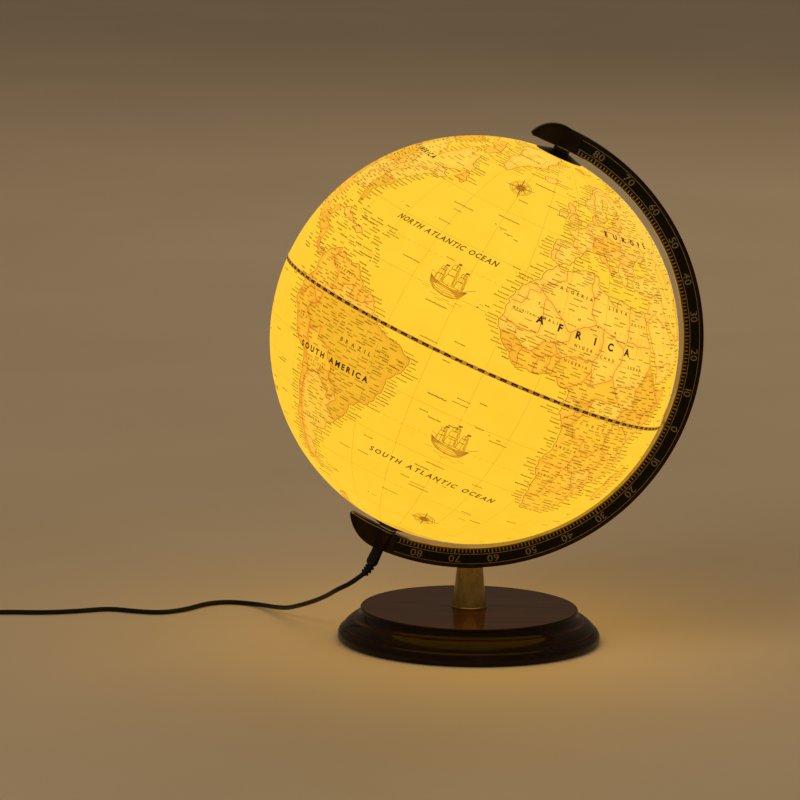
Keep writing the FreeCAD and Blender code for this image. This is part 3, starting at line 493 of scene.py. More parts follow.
    "sakhalin": "142,46.5 142,54 143.5,50",
    "taiwan": "120.2,23 121.8,25 120.8,22",
    "luzon": "120.2,16 121,18.5 122.3,18.3 121.7,14 124,13 120.6,13.8",
    "mindanao": "122,7 125.3,9.7 126.4,7.5 125.5,5.7",
}

SOUTHERN_COAST = """
    -169,-78 -150,-77 -120,-74 -100,-73 -75,-73 -65,-66 -57,-63.5 -62,-70 -60,-75 -35,-78 -10,-71 20,-70
    50,-67 80,-68 110,-66 140,-67 160,-70 170,-77 191,-78"""

LAKES = {
    "caspian": "47,45 51,47 53,45 53.5,40 53.8,37 50,37.5 49.3,40.2 47.5,43",
    "victoria": "31.8,-0.5 34,0.2 33.5,-2.3",
    "superior": "-92,46.7 -88,48.7 -84.7,46.7",
    "michigan": "-88,42 -87,45.8 -86.2,42",
}

BORDERS = """
    -60,5.2 -59.8,4.5 -60.7,5 -64,4.1 -63.4,2.2 -67,1.2 -69.8,1.7 -70,-4.2 -72.9,-5 -73.8,-7.3 -70.6,-9.5
    -70.6,-11 -68.7,-11 -65.4,-9.7 -65.3,-12 -60,-13.7 -60,-16.3 -57.8,-18 -57.9,-22 -55.6,-22.3 -54.3,-24
    -54.6,-25.6 -53.7,-27 -57.6,-30.2 -53.4,-33.4 -52.4,-34.0; -59.8,4.5 -59.8,2 -56.5,1.9 -54.5,2.3
    -51.7,4.2; -57.2,6 -57.5,3.3 -56.5,1.9; -54,5.8 -54.5,2.3; -71.3,11.8 -72.8,9 -70,7 -67.5,6.2 -67,1.2;
    -78.8,1.4 -75.3,-0.1 -72.5,-2.4 -70,-4.2; -80.3,-3.4 -78.5,-4.8 -75.3,-0.1; -70.6,-11 -69,-15.5
    -69.5,-17.5 -70.4,-18.4; -69.5,-17.5 -68.3,-20 -67,-23 -68.5,-25 -70,-30 -70,-34 -71.2,-38 -71.8,-43
    -72.3,-48 -73,-50.5 -71.5,-52 -68.4,-52.3; -67,-23 -62.7,-22.2 -62,-19.7 -58.2,-20 -57.9,-22;
    -62.7,-22.2 -57.7,-25.3 -58,-27.3 -54.6,-25.6; -2,35 -1.5,32.3 -5,30 -8.7,28.7 -8.7,27.3; -13,27.7
    -8.7,27.3; -8.7,27.3 -8.7,26 -12,26 -12,23.4 -13,21.3 -17,21.3; -8.7,27.3 -5,25 -6.5,25 -5.5,15.5
    -12,15; -5,25 1.2,21.1 3,19 4.2,19.2 12,23.5; 8.5,37 8,33 9.5,30.2 9.5,26.3 12,23.5; 11.5,33.1 9.5,30.2;
    12,23.5 15,23 24,19.5 24,20 25,22 25,31.6; 25,22 36.8,22; 24,19.5 24,15.7 22.5,13 22.5,11; 4.2,19.2
    4.2,16.5 0.2,15; 2.2,12.4 3.6,11.7 7,13 13.5,13.7; 15,23 15.5,17 13.5,13.7; 13.5,13.7 14.2,11.5 13,8
    8.6,4.8; 2.7,6.4 2.8,9.5 3.6,11.7; -16.5,16.1 -12,15 -11.4,12.4 -16.7,12.4; -3.1,5.1 -2.7,9.5; -5.4,10.3
    -2.7,9.5 0.9,11 2.2,12.4 0.2,15 -3,14 -5.4,10.3; -7.6,4.4 -8.4,7.6 -8,10.3; -11.4,12.4 -8,10.3
    -5.4,10.3; -13.3,9 -11.2,10 -10.3,8.4 -11.5,6.9; 1.2,6.1 0.5,8 0.9,11; 14.2,11.5 15.5,7.5 19,9 22.5,11
    24.3,8.7 27.4,5.2 22.5,4.1 18.6,4.3 16.2,2.2; 9.8,2.3 13.3,2.2 16.2,2.2; 13.3,2.2 14.4,-1.9 11.2,-3.9;
    18.6,4.3 17.8,0.3 16.2,-2 15,-4.5 12.5,-5; 12.2,-5.8 16.6,-5.9 17.6,-8.1 21.8,-7.3 22,-11 24,-11 24,-13
    22,-13 22,-16.2 23.4,-17.6; 11.8,-17.3 14,-17.4 18.5,-17.4 23.4,-17.6 25.3,-17.8; 21,-18.2 21,-22 20,-22
    20,-24.8 20,-28.4 16.5,-28.6; 20,-24.8 22.8,-25.4 25.6,-25.6 29.4,-22.2; 25.3,-17.8 29.4,-22.2
    31.3,-22.4 32,-26.8; 25.3,-17.8 28.8,-16 30.4,-15.7 33,-16.7 32.9,-20 31.3,-22.4; 30.4,-15.7 33,-14
    33,-9.5; 24,-11 27,-12 28.4,-9.2 28.7,-8.5 33,-9.5; 34.6,-11.6 40.4,-10.5; 33.9,-1 37.6,-3.4 39.2,-4.7;
    30.8,3.5 29.6,-1.4 29.2,-4.5 30.5,-8.3; 34,0 35,4.6; 41.6,-1.7 41,3 42,4.2; 35,4.6 39,3.5 42,4.2 45,5
    48,8 43,11; 34,8 34,10.5 36.5,14.3 38.5,17.8; 36.5,14.3 40,14.5 42.4,12.5; 24.3,8.7 27,9.6 33,10.5 34,8
    35,4.6 30.8,3.5 27.4,5.2; -1.8,43.3 3.1,42.4; -8.8,41.9 -6.5,41.6 -7.3,39.5 -7.4,37.2; 2.6,51 6,49.5
    8.2,49 7.6,47.6 7,46 7.5,43.8; 14.2,53.9 14.8,51 12.2,50.3 13,48.6 8.2,49; 14.8,51 18.8,49.5 22.6,49.1
    22,48 16.5,46.5 13.7,45.6; 7,46 10.5,46.8 13.7,46.5; 19.8,54.4 23.5,54 23.6,51.5 22.6,49.1; 23.5,54
    28,56 28,59.6; 38,47 40,49.5 35,51.5 31.5,52.2 23.6,51.5; 22,48 28.2,45.5; 19.4,42 21,44 22.5,43.8
    28.5,43.8; 21,44 22.8,41.5 26.3,41.7; 28,60.5 31.5,62.8 29,66 29,69; 11.3,59 12.2,63 16,67.5 20.5,69
    25.7,69.2; 36,36 42.3,37.2 44.8,39.7 46,34 48,30; 35,29.4 39,32 44.5,29.2 47.7,28.5; 43,17 48,18.5 52,19
    53,16.6; 61.6,25.2 61,31 61,36 66,37.5 71,38.5 75,35; 68.2,23.7 71,28 74.5,31 75,35 78,35.5 79,31
    81,30.2 88,27.8 92,27.8 97,28.3; 87.5,49.2 97,49.8 116,49.8 120,53 126,52.8 131,47.7 131,43; 87.5,49.2
    91,45 96,42.7 105,41.6 112,43.7 116,46.7 120,46.9 116,49.8; 49,46.5 47,50 55,51 61,54 70,55.3 77,53.5
    87.5,49.2 82.5,45.3 80,42 74,43 66,41.2 56,41.3 56,45 52.5,42; 80,42 74,40 78,35.5; 97,28.3 98,24
    102,22.3 106,22.8 108,21.6; 98,24 97.8,18 99,15 98.7,10.5; 92,27.8 92.5,24.5 92,21.5; 100.5,20.2
    101,17.8 105,16 103,14.3 102.9,11.7; 102,22.3 104.5,19.5 107.5,15.5 106,11; -123,49 -110,49 -102,49
    -95.2,49 -89.5,48 -84.5,46.5 -82.5,43 -79,43.2 -75,45 -71.3,45.2 -69.2,47.4 -67.8,45.7 -67,44.8;
    -117.1,32.5 -111,31.3 -106.5,31.8 -103,29 -101,29.8 -97.2,26; -92.2,14.5 -91,17.8 -89.2,17.8 -88.3,18.5;
    -141,69.6 -141,60.3 -136,59.2 -130,55.5; -83.2,15 -87.5,13; -85.7,11.1 -83.7,10.9; -82.9,8.1 -82.6,9.6;
    -110,49 -110,60 -141,60; -110,60 -102,60 -94.8,60; -102,49 -102,60; -114,42 -124.3,42; -111,31.3 -114,37
    -114,42 -111,45 -110,49; -103,29 -103,37 -102,41 -104,45 -104,49; -114,37 -103,37 -94.5,37 -89.5,37
    -81.7,36.6 -76,36.6; -94.5,37 -94.5,33 -93.8,29.8; -102,41 -95.5,41 -91,42 -87.5,42.5; -89.5,37 -91,42
    -90,48; -85,30 -85.2,35 -84.5,39 -80.5,41 -79,43.2; 129,-14.9 129,-26 129,-31.6; 138,-16.5 138,-26
    141,-26 141,-29 141,-34 141,-38; 129,-26 138,-26; 141,-29 149,-29 153.4,-28.2; 141,-34 147,-36
    150,-37.5"""

RIVERS = """
    -73.5,-4.5 -70,-3.9 -65,-3.3 -60,-3.2 -55,-2.2 -51.5,-0.5; -60,-3.2 -63,-7 -64.5,-9.5; -48.5,-1.5
    -49.5,-5 -48.5,-9 -49,-13 -50.5,-16; -44.5,-20 -43.8,-15 -42,-10.5 -38.5,-9 -36.5,-10.4; -47.5,-19
    -51,-20.5 -54.3,-24 -56,-27.3 -59,-28 -60.5,-32 -58.5,-34; -67.5,6.2 -65.5,7.8 -62,8.6; -10.7,9.5
    -8,12.5 -3.5,15.5 -0.2,16.8 3,13 5.5,9.5 6.7,6 6.2,4.4; 30.2,31.3 31.2,29 32.6,25.5 30.8,22 33.5,19.2
    32.5,15.6 32.5,12 31,9.5 31.8,5 31.5,1 33,-0.5; 32.5,15.6 35,12 37.5,11.5; 12.4,-6 16,-4.2 18,0.5 22,2.1
    25.2,0.6 26.5,-4 27,-9; 23.2,-14.5 25.9,-17.9 28,-16.5 31,-15.6 35.5,-18; 28,-28.5 24.5,-29.3 20.5,-28.6
    16.6,-28.6; 8.5,47.5 8,49.5 6.5,51.5 4.3,51.9; 10,48 16.5,48 19,47.5 19,45.2 23,44 28,45; 33,57 42,56.5
    49,55.5 47,51 44.5,48.5 47.8,46; 67.5,68.5 66,61 70,58 77,60 83,57 85,52; 82.5,72 86,66 90,60 93,55;
    126.5,72.5 124,66 129,62 120,60 107,54.5; 90,23.5 88,25.5 80,27 78,30; 67.5,24.5 70,28.5 73,33 78,33.5
    82,31.5; 121,31.8 115,30 110,30.5 104,29 100,27 97,33; 119,37.5 113,35 110.5,38 107,40 103.5,36;
    140.5,53 136,49.5 131,47.7; -89.5,29.5 -91.3,33 -89.5,37 -91,41 -93,45; -89.5,37 -95,39 -98,43 -104,47
    -110,47.5; -89.5,37 -85.5,38.3 -80.5,40; -97.3,26 -101,29.8 -106.5,31.8 -106.5,36; -114.8,32 -113.5,36
    -109.5,38.5; -123.8,46.2 -119,46 -118,49; -135,68.8 -127,64.5 -119,61.5; -164,62.8 -158,62 -151,65.5
    -142,65; -66.5,49.8 -71,47.3 -75,45; 139.3,-35.5 141,-34 146,-35.8; 141,-34 144,-30.5 149,-28.5"""

SMALL_ISLANDS = """
    -16.5,28.2 -14,28.5 -15.4,28 -17.9,28.7 -25.5,37.8 -28.5,38.5 -31.2,39.5 -17,32.7 -24,15.2 -23.6,16.1
    -24.8,17 -22.9,16.1 -14.4,-7.9 -5.7,-15.9 -12.3,-37.1 -59.5,-51.8 -58.2,-51.7 -60.9,-51.7 -36.8,-54.4
    -61,14.6 -61,13.8 -61.3,15.4 -61.6,16.2 -62.8,17.3 -59.5,13.1 -61.3,10.4 -66.5,18.2 -77.3,18.1
    -76.8,24.2 -77.8,26.3 -75.5,23.6 -73,21.5 -64.8,32.3 -91,-0.5 -90.3,-0.8 -109.4,-27.1 -155.5,19.6
    -156.4,20.8 -158,21.5 -159.5,22 8.7,3.4 6.6,0.2 7.4,1.6 9,40.1 9.1,42.1 14,37.5 24.9,35.2 33.2,35 3,39.6
    14.4,35.9 55.5,-21.1 57.6,-20.3 55.5,-4.7 43.4,-11.7 54,12.5 73.4,3.5 73.1,0.5 92.8,12 93.5,7.5
    105.6,-10.5 72.4,-7.3 69.3,-49.4 178,-18 179.5,-16.5 165.5,-21.3 167,-15.5 160,-9.5 157,-8 161.5,-10.3
    149.5,-17.6 151,-16.5 172,-13.7 188,-14.2 144.8,13.4 134.5,7.5 158.2,6.9 127,26.4 129.4,28.3 -19,-59.5
    -6.8,62 -1.3,60.3 -3,59 18.5,57.5 -8.3,71 22,44 50.5,80.3 58,80.5 98,79.5 142,74.5 180,71.3 125,-9
    121,-9.8 118,-8.6 116.2,-8.5 129,-3 128,0.8 124,10.5 123,11 118.5,9.5 122.8,12 100,-1.5 -81.2,19.3
    -112,29 -110,-24 -82.5,9.9 -133,-15.5 -140,-9 -150,-26.5 -171.5,-13.8"""


def outline(text):
    return [tuple(float(v) for v in pair.split(",")) for pair in text.split()]


def on_globe(lon, lat, lift=0.0):
    """A point on the globe, that many millimetres above its surface, and the way up there."""
    a, b = math.radians(lon - FRONT_LON), math.radians(lat)
    up = math.cos(b) * (math.sin(a) * EAST + math.cos(a) * FRONT) + math.sin(b) * POLE
    return CENTRE + (GLOBE_R + lift * MM) * up, up


def east_scale(lat):
    """A degree of longitude over a degree of latitude, there."""
    return max(0.05, math.cos(math.radians(lat)))


def roughen(a, b, step, amount):
    """From a up to, but not including, b, with the wiggles of a real line. The same two
    points give the same line in either direction."""
    narrow = east_scale(0.5 * (a[1] + b[1]))
    if math.hypot((b[0] - a[0]) * narrow, b[1] - a[1]) < step:
        return [a]
    p, q = sorted((a, b))
    push = random.Random("%.3f %.3f %.3f %.3f" % (p + q)).uniform(-amount, amount)
    middle = (0.5 * (p[0] + q[0]) - push * (q[1] - p[1]) / narrow,
              0.5 * (p[1] + q[1]) + push * (q[0] - p[0]) * narrow)
    return roughen(a, middle, step, amount) + roughen(middle, b, step, amount)


COAST_STEP, COAST_WIGGLE = 0.95, 0.17
BORDER_STEP, BORDER_WIGGLE = 1.5, 0.08
RIVER_STEP, RIVER_WIGGLE = 0.9, 0.16


def rough_line(points, step, amount, closed=False):
    ends = points[1:] + points[:1] if closed else points[1:]
    line = [p for a, b in zip(points, ends) for p in roughen(a, b, step, amount)]
    return line if closed else line + [points[-1]]


class Area:
    """The inside of a closed outline."""

    def __init__(self, line):
        self.line = line
        self.low = tuple(min(p[k] for p in line) for k in (0, 1))
        self.high = tuple(max(p[k] for p in line) for k in (0, 1))

    def holds(self, lon, lat):
        if not (self.low[0] <= lon <= self.high[0] and self.low[1] <= lat <= self.high[1]):
            return False
        inside = False
        for (x0, y0), (x1, y1) in zip(self.line, self.line[1:] + self.line[:1]):
            if (y0 > lat) != (y1 > lat) and lon < x0 + (lat - y0) * (x1 - x0) / (y1 - y0):
                inside = not inside
        return inside


COASTS = [rough_line(outline(t), COAST_STEP, COAST_WIGGLE, closed=True) for t in LAND.values()]
SHORES = [rough_line(outline(t), COAST_STEP, COAST_WIGGLE, closed=True) for t in LAKES.values()]
ICE_EDGE = rough_line(outline(SOUTHERN_COAST), COAST_STEP, COAST_WIGGLE)
FRONTIERS = [rough_line(outline(t), BORDER_STEP, BORDER_WIGGLE) for t in BORDERS.split(";")]
ICE = Area(ICE_EDGE + [(EAST_EDGE, -90.0), (WEST_EDGE, -90.0)])
LAND_AREAS = [Area(line) for line in COASTS] + [ICE]
LAKE_AREAS = [Area(line) for line in SHORES]


def is_land(lon, lat):
    return (any(area.holds(lon, lat) for area in LAND_AREAS)
            and not any(area.holds(lon, lat) for area in LAKE_AREAS))


# ---- globe shell ----
GRID = 3.0                     # degrees between the shell's free points
COLUMNS, GRID_END = 120, 84    # how many columns go round, and the last full row's latitude
BESIDE = 0.9                   # degrees from a line to the points that carry its band
CLEAR_BESIDE, CLEAR_GRID = 0.8, 0.5    # degrees from any line that such points stay, and free ones
CELL = 0.8                     # degrees: two free points don't share a cell of this size
BAND = 4.2                     # millimetres over which a border's darker band fades
FAINTER = 0.72                 # of the band, away from the mountains
RANGES = Area([(-85, 12), (-71, 12), (-66, -20), (-67, -56), (-85, -56)])    # Andes, tinted darker
SEA = (1.0, 0.615, 0.036)      # lit colours
PALE, SAND, AMBER = (1.0, 0.625, 0.060), (0.98, 0.58, 0.052), (0.97, 0.56, 0.036)
ORANGE, TAN, OLIVE = (0.975, 0.53, 0.036), (0.92, 0.50, 0.030), (0.86, 0.475, 0.026)
TINTS = [PALE, SAND, AMBER, ORANGE, TAN, OLIVE]
# Countries of the front whose tint is known: a place inside each, and the tint.
KNOWN_TINTS = [
    ((-90, 38), PALE), ((-100, 58), PALE), ((-10, 20), PALE), ((-102, 24), ORANGE), ((-55, -8), OLIVE),
    ((-66, -32), SAND), ((-75, -10), TAN), ((-64, -17), AMBER), ((-73, 4), AMBER),
    ((-66, 8), ORANGE), ((3, 28), SAND), ((18, 27), PALE), ((30, 27), SAND), ((30, 16), AMBER),
    ((18, 14), PALE), ((10, 18), SAND), ((-2, 18), PALE), ((8, 9), AMBER), ((23, -2), ORANGE),
    ((40, 8), TAN), ((17, -12), AMBER), ((17, -22), SAND), ((23, -31), SAND), ((-4, 40), PALE),
    ((2, 47), PALE), ((10, 51), SAND), ((-40, 72), PALE), ((38, 1), TAN), ((35, -6), ORANGE),
    ((-70.5, -30), ORANGE), ((-7, 32), AMBER), ((27, -14), AMBER), ((33, 39), AMBER),
    ((-18.5, 65), PALE), ((-8, 53), PALE), ((-2, 53), SAND), ((15, 64), PALE), ((9, 61), SAND),
    ((25, 45), SAND), ((30, 50), AMBER), ((45, 24), AMBER), ((40, 60), PALE),
]


def shell_lines():
    """The lines that divide the shell's faces: points, and pairs of their numbers."""
    points, number, pairs = [], {}, []

    def index(point):
        key = (round(point[0], 4), round(point[1], 4))
        if key not in number:
            number[key] = len(points)
            points.append(key)
        return number[key]

    equator = [(WEST_EDGE + GRID * k, 0.0) for k in range(COLUMNS + 1)]
    for line in [c + c[:1] for c in COASTS + SHORES] + [ICE_EDGE] + FRONTIERS + [equator]:
        for a, b in zip(line, line[1:]):
            pair = (index(a), index(b))
            if pair[0] != pair[1]:
                pairs.append(pair)
    return points, pairs


def line_tree(points):
    tree = KDTree(len(points))
    for k, point in enumerate(points):
        tree.insert(on_globe(*point)[0], k)
    tree.balance()
    return tree


def free_points(line_points, tree):
    """Points beside each line, and a grid over the rest, none of them too near a line."""
    made = []
    for lon, lat in line_points:
        for dx, dy in ((1, 1), (-1, 1), (1, -1), (-1, -1)):
            near = (lon + dx * BESIDE / east_scale(lat), lat + dy * BESIDE)
            if WEST_EDGE + 1 < near[0] < EAST_EDGE - 1 and abs(near[1]) < GRID_END:
                made.append((near, CLEAR_BESIDE))
    inner_rows = [-GRID_END + GRID * k for k in range(round(2 * GRID_END / GRID) + 1)]
    for lat in [SOUTH_EDGE] + inner_rows + [NORTH_EDGE]:
        for k in range(COLUMNS + 1):
            on_rim = k in (0, COLUMNS) or lat in (SOUTH_EDGE, NORTH_EDGE)
            made.append(((WEST_EDGE + GRID * k, lat), 0.0 if on_rim else CLEAR_GRID))
    kept, cells = [], set()
    for (lon, lat), clear in made:
        place = on_globe(lon, lat)[0]
        cell = tuple(round(v / (CELL * DEGREE * MM)) for v in place)
        if clear and (tree.find(place)[2] < clear * DEGREE * MM or cell in cells):
            continue
        cells.add(cell)
        kept.append((lon, lat))
    return kept


def face_edges(face):
    return [tuple(sorted(pair)) for pair in zip(face, face[1:] + face[:1])]


def region_of_faces(faces, walls):
    """Numbers the regions that the walls divide the faces into."""
    owners = {}
    for k, face in enumerate(faces):
        for edge in face_edges(face):
            owners.setdefault(edge, []).append(k)
    region = [None] * len(faces)
    count = 0
    for start in range(len(faces)):
        if region[start] is not None:
            continue
        region[start] = count
        queue = [start]
        while queue:
            open_edges = (edge for edge in face_edges(faces[queue.pop()]) if edge not in walls)
            for other in [k for edge in open_edges for k in owners[edge]]:
                if region[other] is None:
                    region[other] = count
                    queue.append(other)
        count += 1
    touching = {}
    for edge in walls:
        sides = {region[k] for k in owners.get(edge, [])}
        for side in sides:
            touching.setdefault(side, set()).update(sides - {side})
    return region, count, touching


def region_colours(points, faces, region, count, touching):
    """Sea, or a known tint, or one that differs from the neighbours' tints. Alpha tells land
    from sea."""
    widest, known = {}, {}
    for k, face in enumerate(faces):
        a, b, c = (points[n] for n in face)
        for place, tint in KNOWN_TINTS:
            if intersect_point_tri_2d(Vector(place), Vector(a), Vector(b), Vector(c)):
                known[region[k]] = tint
        size = abs((b[0] - a[0]) * (c[1] - a[1]) - (c[0] - a[0]) * (b[1] - a[1]))
        if size > widest.get(region[k], (0, None))[0]:
            widest[region[k]] = (size, ((a[0] + b[0] + c[0]) / 3, (a[1] + b[1] + c[1]) / 3))
    draw = random.Random(3)
    colours = {}
    for number in range(count):
        if number not in widest or not is_land(*widest[number][1]):
            colours[number] = (*SEA, 0.0)
        elif number in known:
            colours[number] = (*known[number], 1.0)
        else:
            used = {colours[n][:3] for n in touching.get(number, ()) if n in colours}
            choice = [tint for tint in TINTS if tint not in used] or TINTS
            colours[number] = (*draw.choice(choice), 1.0)
    return colours


def add_piece(name, corners, faces, body, material):
    mesh = bpy.data.meshes.new(name)
    mesh.from_pydata(corners, [], faces)
    mesh.materials.append(material)
    mesh.update()
    mesh.shade_smooth()
    piece = bpy.data.objects.new(name, mesh)
    SCENE.collection.objects.link(piece)
    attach(piece, body)
    return piece


def add_hemisphere(name, node, points, faces, colours, band, material):
    """One half of the shell. Points that meet at the map's seam become one."""
    number, corners, bands = {}, [], []

    def index(n):
        lon, lat = points[n]
        key = (round(lon % 360, 4), round(lat, 4))
        if key not in number:
            number[key] = len(corners)
            corners.append(on_globe(lon, lat)[0])
            bands.append(band[n])
        return number[key]

    shapes = [[index(n) for n in face] for face in faces]
    shell = add_piece(name, corners, shapes, "globe", material)
    tint = shell.data.color_attributes.new("tint", "FLOAT_COLOR", "CORNER")
    tint.data.foreach_set("color", [v for c in colours for _ in range(3) for v in c])
    shell.data.attributes.new("band", "FLOAT", "POINT").data.foreach_set("value", bands)
    wall = shell.modifiers.new("wall", "SOLIDIFY")
    wall.thickness = GLOBE_WALL
    wall.offset = -1
    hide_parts(node)


def globe_material():
    """Translucent printed shell lit from inside: yellow sea, tinted countries that darken
    towards their borders, a little mottled, and paler towards the north pole."""
    made = Surface("globe_shell", (0.5, 0.3, 0.05), 0.5, Specular_IOR_Level=0.15,
                   Emission_Strength=0.93)
    tint = made.node("Attribute", {}, attribute_name="tint")
    band = made.node("Attribute", {}, attribute_name="band").outputs["Fac"]
    edge = made.maths("MULTIPLY", made.maths("POWER", band, 1.4), tint.outputs["Alpha"])
    shade = made.ramp(edge, (0.0, (1, 1, 1)), (0.5, (0.97, 0.86, 0.95)), (1.0, (0.93, 0.66, 0.75)))
    mottle = made.ramp(made.noise(22, detail=6), (0.3, (0.985, 0.965, 0.88)), (0.7, (1.02, 1.02, 1.08)))
    aged = made.mix(made.mix(tint.outputs["Color"], shade), mottle)
    from_centre = made.vector_maths("SUBTRACT", made.place(), CENTRE)
    north = made.vector_maths("DOT_PRODUCT", from_centre, POLE, output="Value")
    glow = made.ramp(made.spread(north, 0, 1, -GLOBE_R, GLOBE_R), (0.0, (1.0, 1.0, 0.95)),
                     (0.45, (1.0, 0.985, 0.95)), (1.0, (1.02, 1.03, 1.2)))
    made.link("Emission Color", made.mix(aged, glow))
    made.link("Base Color", made.mix(aged, (0.42, 0.36, 0.30, 1)))
    made.bump(made.noise(1.0, detail=3), 0.01)
    return made.material


def add_shell():
    line_points, pairs = shell_lines()
    tree = line_tree(line_points)
    points = line_points + free_points(line_points, tree)
    cut = delaunay_2d_cdt([Vector(p) for p in points], pairs, [], 0, 1e-5)
    points = [tuple(p) for p in cut[0]]
    faces = [list(face) for face in cut[2]]
    walls = {tuple(sorted(edge)) for edge, source in zip(cut[1], cut[4]) if source}
    region, count, touching = region_of_faces(faces, walls)
    colours = region_colours(points, faces, region, count, touching)
    edge_points = {n for edge in walls for n in edge if abs(points[n][1]) > 0.01}
    band = []
    for n, point in enumerate(points):
        gap = 0.0 if n in edge_points else tree.find(on_globe(*point)[0])[2] / MM
        band.append(max(0.0, 1 - gap / BAND) * (1.0 if RANGES.holds(*point) else FAINTER))
    material = globe_material()
    for name, node, sign in (("globe_north", "north_hemisphere", 1),
                             ("globe_south", "south_hemisphere", -1)):
        mine = [k for k, face in enumerate(faces) if sign * sum(points[n][1] for n in face) > 0]
        add_hemisphere(name, node, points, [faces[k] for k in mine],
                       [colours[region[k]] for k in mine], band, material)


add_shell()


# ---- printing ----
class Print:
    """Flat shapes printed on a surface. A place function turns two coordinates into a point
    and the surface's normal there."""

    def __init__(self):
        self.corners = []
        self.faces = []

    def line(self, place, points, width, closed=False):
        """A line of that width in millimetres."""
        spots = [place(*p) for p in points]
        count = len(spots)
        first = len(self.corners)
        for k, (spot, up) in enumerate(spots):
            before = spots[k - 1][0] if k or closed else spot
            after = spots[(k + 1) % count][0] if k < count - 1 or closed else spot
            side = (after - before).cross(up).normalized() * (0.5 * width * MM)
            self.corners += [spot - side, spot + side]
        for k in range(count if closed else count - 1):
            a, b = first + 2 * k, first + 2 * ((k + 1) % count)
            self.faces.append((a, a + 1, b + 1, b))

    def shape(self, place, points, faces):
        first = len(self.corners)
        self.corners += [place(*p)[0] for p in points]
        self.faces += [tuple(first + n for n in face) for face in faces]

    def patch(self, place, points):
        self.shape(place, points, [range(len(points))])

    def box(self, place, left, low, right, high):
        self.patch(place, [(left, low), (right, low), (right, high), (left, high)])

    def add(self, name, material, body="globe", slot="globe_print"):
        add_piece(name, self.corners, self.faces, body, material)


# Printing, in millimetres: how far it stands above the shell, later over earlier, and how
# wide its lines are.
LIFT = {"grid": 0.04, "river": 0.05, "border": 0.055, "coast": 0.06, "islet": 0.07, "word": 0.08,
        "drawing": 0.09, "title": 0.1}
WIDTH = {"grid": 0.24, "river": 0.26, "border": 0.34, "coast": 0.42}


def near_map(lon, lat, lift, slant=0.0, turn=0.0, scale=1.0):
    """A place function in millimetres east and north of one point of the map."""
    c, s = math.cos(math.radians(turn)), math.sin(math.radians(turn))

    def place(x, y):
        x, y = scale * (x + slant * y), scale * y
        x, y = c * x - s * y, s * x + c * y
        north = lat + math.degrees(y * MM / GLOBE_R)
        return on_globe(lon + math.degrees(x * MM / (GLOBE_R * east_scale(lat))), north, lift)

    return place


def print_lift(height):
    return lambda lon, lat: on_globe(lon, lat, height)


def ink(name, colour, glow):
    """Printed ink on the lit shell: it lets a little of the lamp's light through."""
    made = Surface(name, colour, 0.5, Specular_IOR_Level=0.25, Emission_Strength=1.0)
    patchy = made.noise(1.5, detail=3)
    made.colour(patchy, (0.3, tuple(0.8 * c for c in colour)), (0.7, colour))
    made.link("Emission Color", made.ramp(patchy, (0.3, tuple(0.82 * c for c in glow)), (0.7, glow)))
    made.material.cycles.emission_sampling = "NONE"
    return made.material


# Each ink: its own colour, and that of the light it lets through.
INKS = {
    "coast": ((0.10, 0.035, 0.008), (0.34, 0.125, 0.008)),
    "border": ((0.12, 0.04, 0.01), (0.42, 0.15, 0.010)),
    "grid": ((0.20, 0.10, 0.02), (0.58, 0.29, 0.014)),
    "drawing": ((0.10, 0.035, 0.008), (0.30, 0.11, 0.006)),
    "names": ((0.04, 0.02, 0.005), (0.08, 0.036, 0.001)),
    "faint": ((0.08, 0.04, 0.008), (0.28, 0.135, 0.004)),
    "river": ((0.20, 0.09, 0.02), (0.60, 0.28, 0.015)),
    "title": ((0.02, 0.01, 0.003), (0.035, 0.016, 0.001)),
    "ocean": ((0.05, 0.025, 0.006), (0.13, 0.065, 0.002)),
    "country": ((0.05, 0.02, 0.005), (0.17, 0.065, 0.003)),
    "tape": ((0.12, 0.07, 0.02), (0.42, 0.21, 0.022)),
    "wash": ((0.25, 0.10, 0.02), (0.72, 0.32, 0.018)),
    "black": ((0.01, 0.004, 0.002), (0.02, 0.004, 0.002)),
}
INK = {name: ink("ink_" + name, *colours) for name, colours in INKS.items()}


def split_over_land(line):
    """The stretches of a line that lie on land."""
    stretches, current = [], []
    for point in line:
        if is_land(*point):
            current.append(point)
        else:
            if len(current) > 1:
                stretches.append(current)
            current = []
    return stretches + ([current] if len(current) > 1 else [])


ISLET_CORNERS = (0, 1.2, 2.6, 3.7, 5.1)       # directions, in radians


def print_map_lines():
    coast, border, rivers = Print(), Print(), Print()
    on_coast, on_border, on_river = (print_lift(LIFT[kind]) for kind in ("coast", "border", "river"))
    for line in COASTS + SHORES:
        coast.line(on_coast, line, WIDTH["coast"], closed=True)
    coast.line(on_coast, ICE_EDGE, WIDTH["coast"])
    draw = random.Random(11)
    for lon, lat in outline(SMALL_ISLANDS):
        spin, wide = draw.uniform(0, 6.28), draw.uniform(0.45, 1.0)
        ring = [(wide * math.cos(spin + a), 0.6 * wide * math.sin(a)) for a in ISLET_CORNERS]
        coast.patch(near_map(lon, lat, LIFT["islet"]), ring)
    coast.add("map_coasts", INK["coast"])
    for line in FRONTIERS:
        for stretch in split_over_land(line):
            border.line(on_border, stretch, WIDTH["border"])
    border.add("map_borders", INK["border"])
    for text in RIVERS.split(";"):
        course = rough_line(outline(text), RIVER_STEP, RIVER_WIGGLE)
        rivers.line(on_river, course, WIDTH["river"])
    rivers.add("map_rivers", INK["river"])


TROPIC, CIRCLE = 23.44, 66.56
MERIDIAN_STEP = 15             # degrees between meridians and between parallels
MERIDIAN_END = 75              # latitude where the meridians end
CURVE_STEP = 2.5               # degrees between the points of a drawn circle
DASH_STEP, DASH = 2, 1.2       # degrees, along the tropics and polar circles


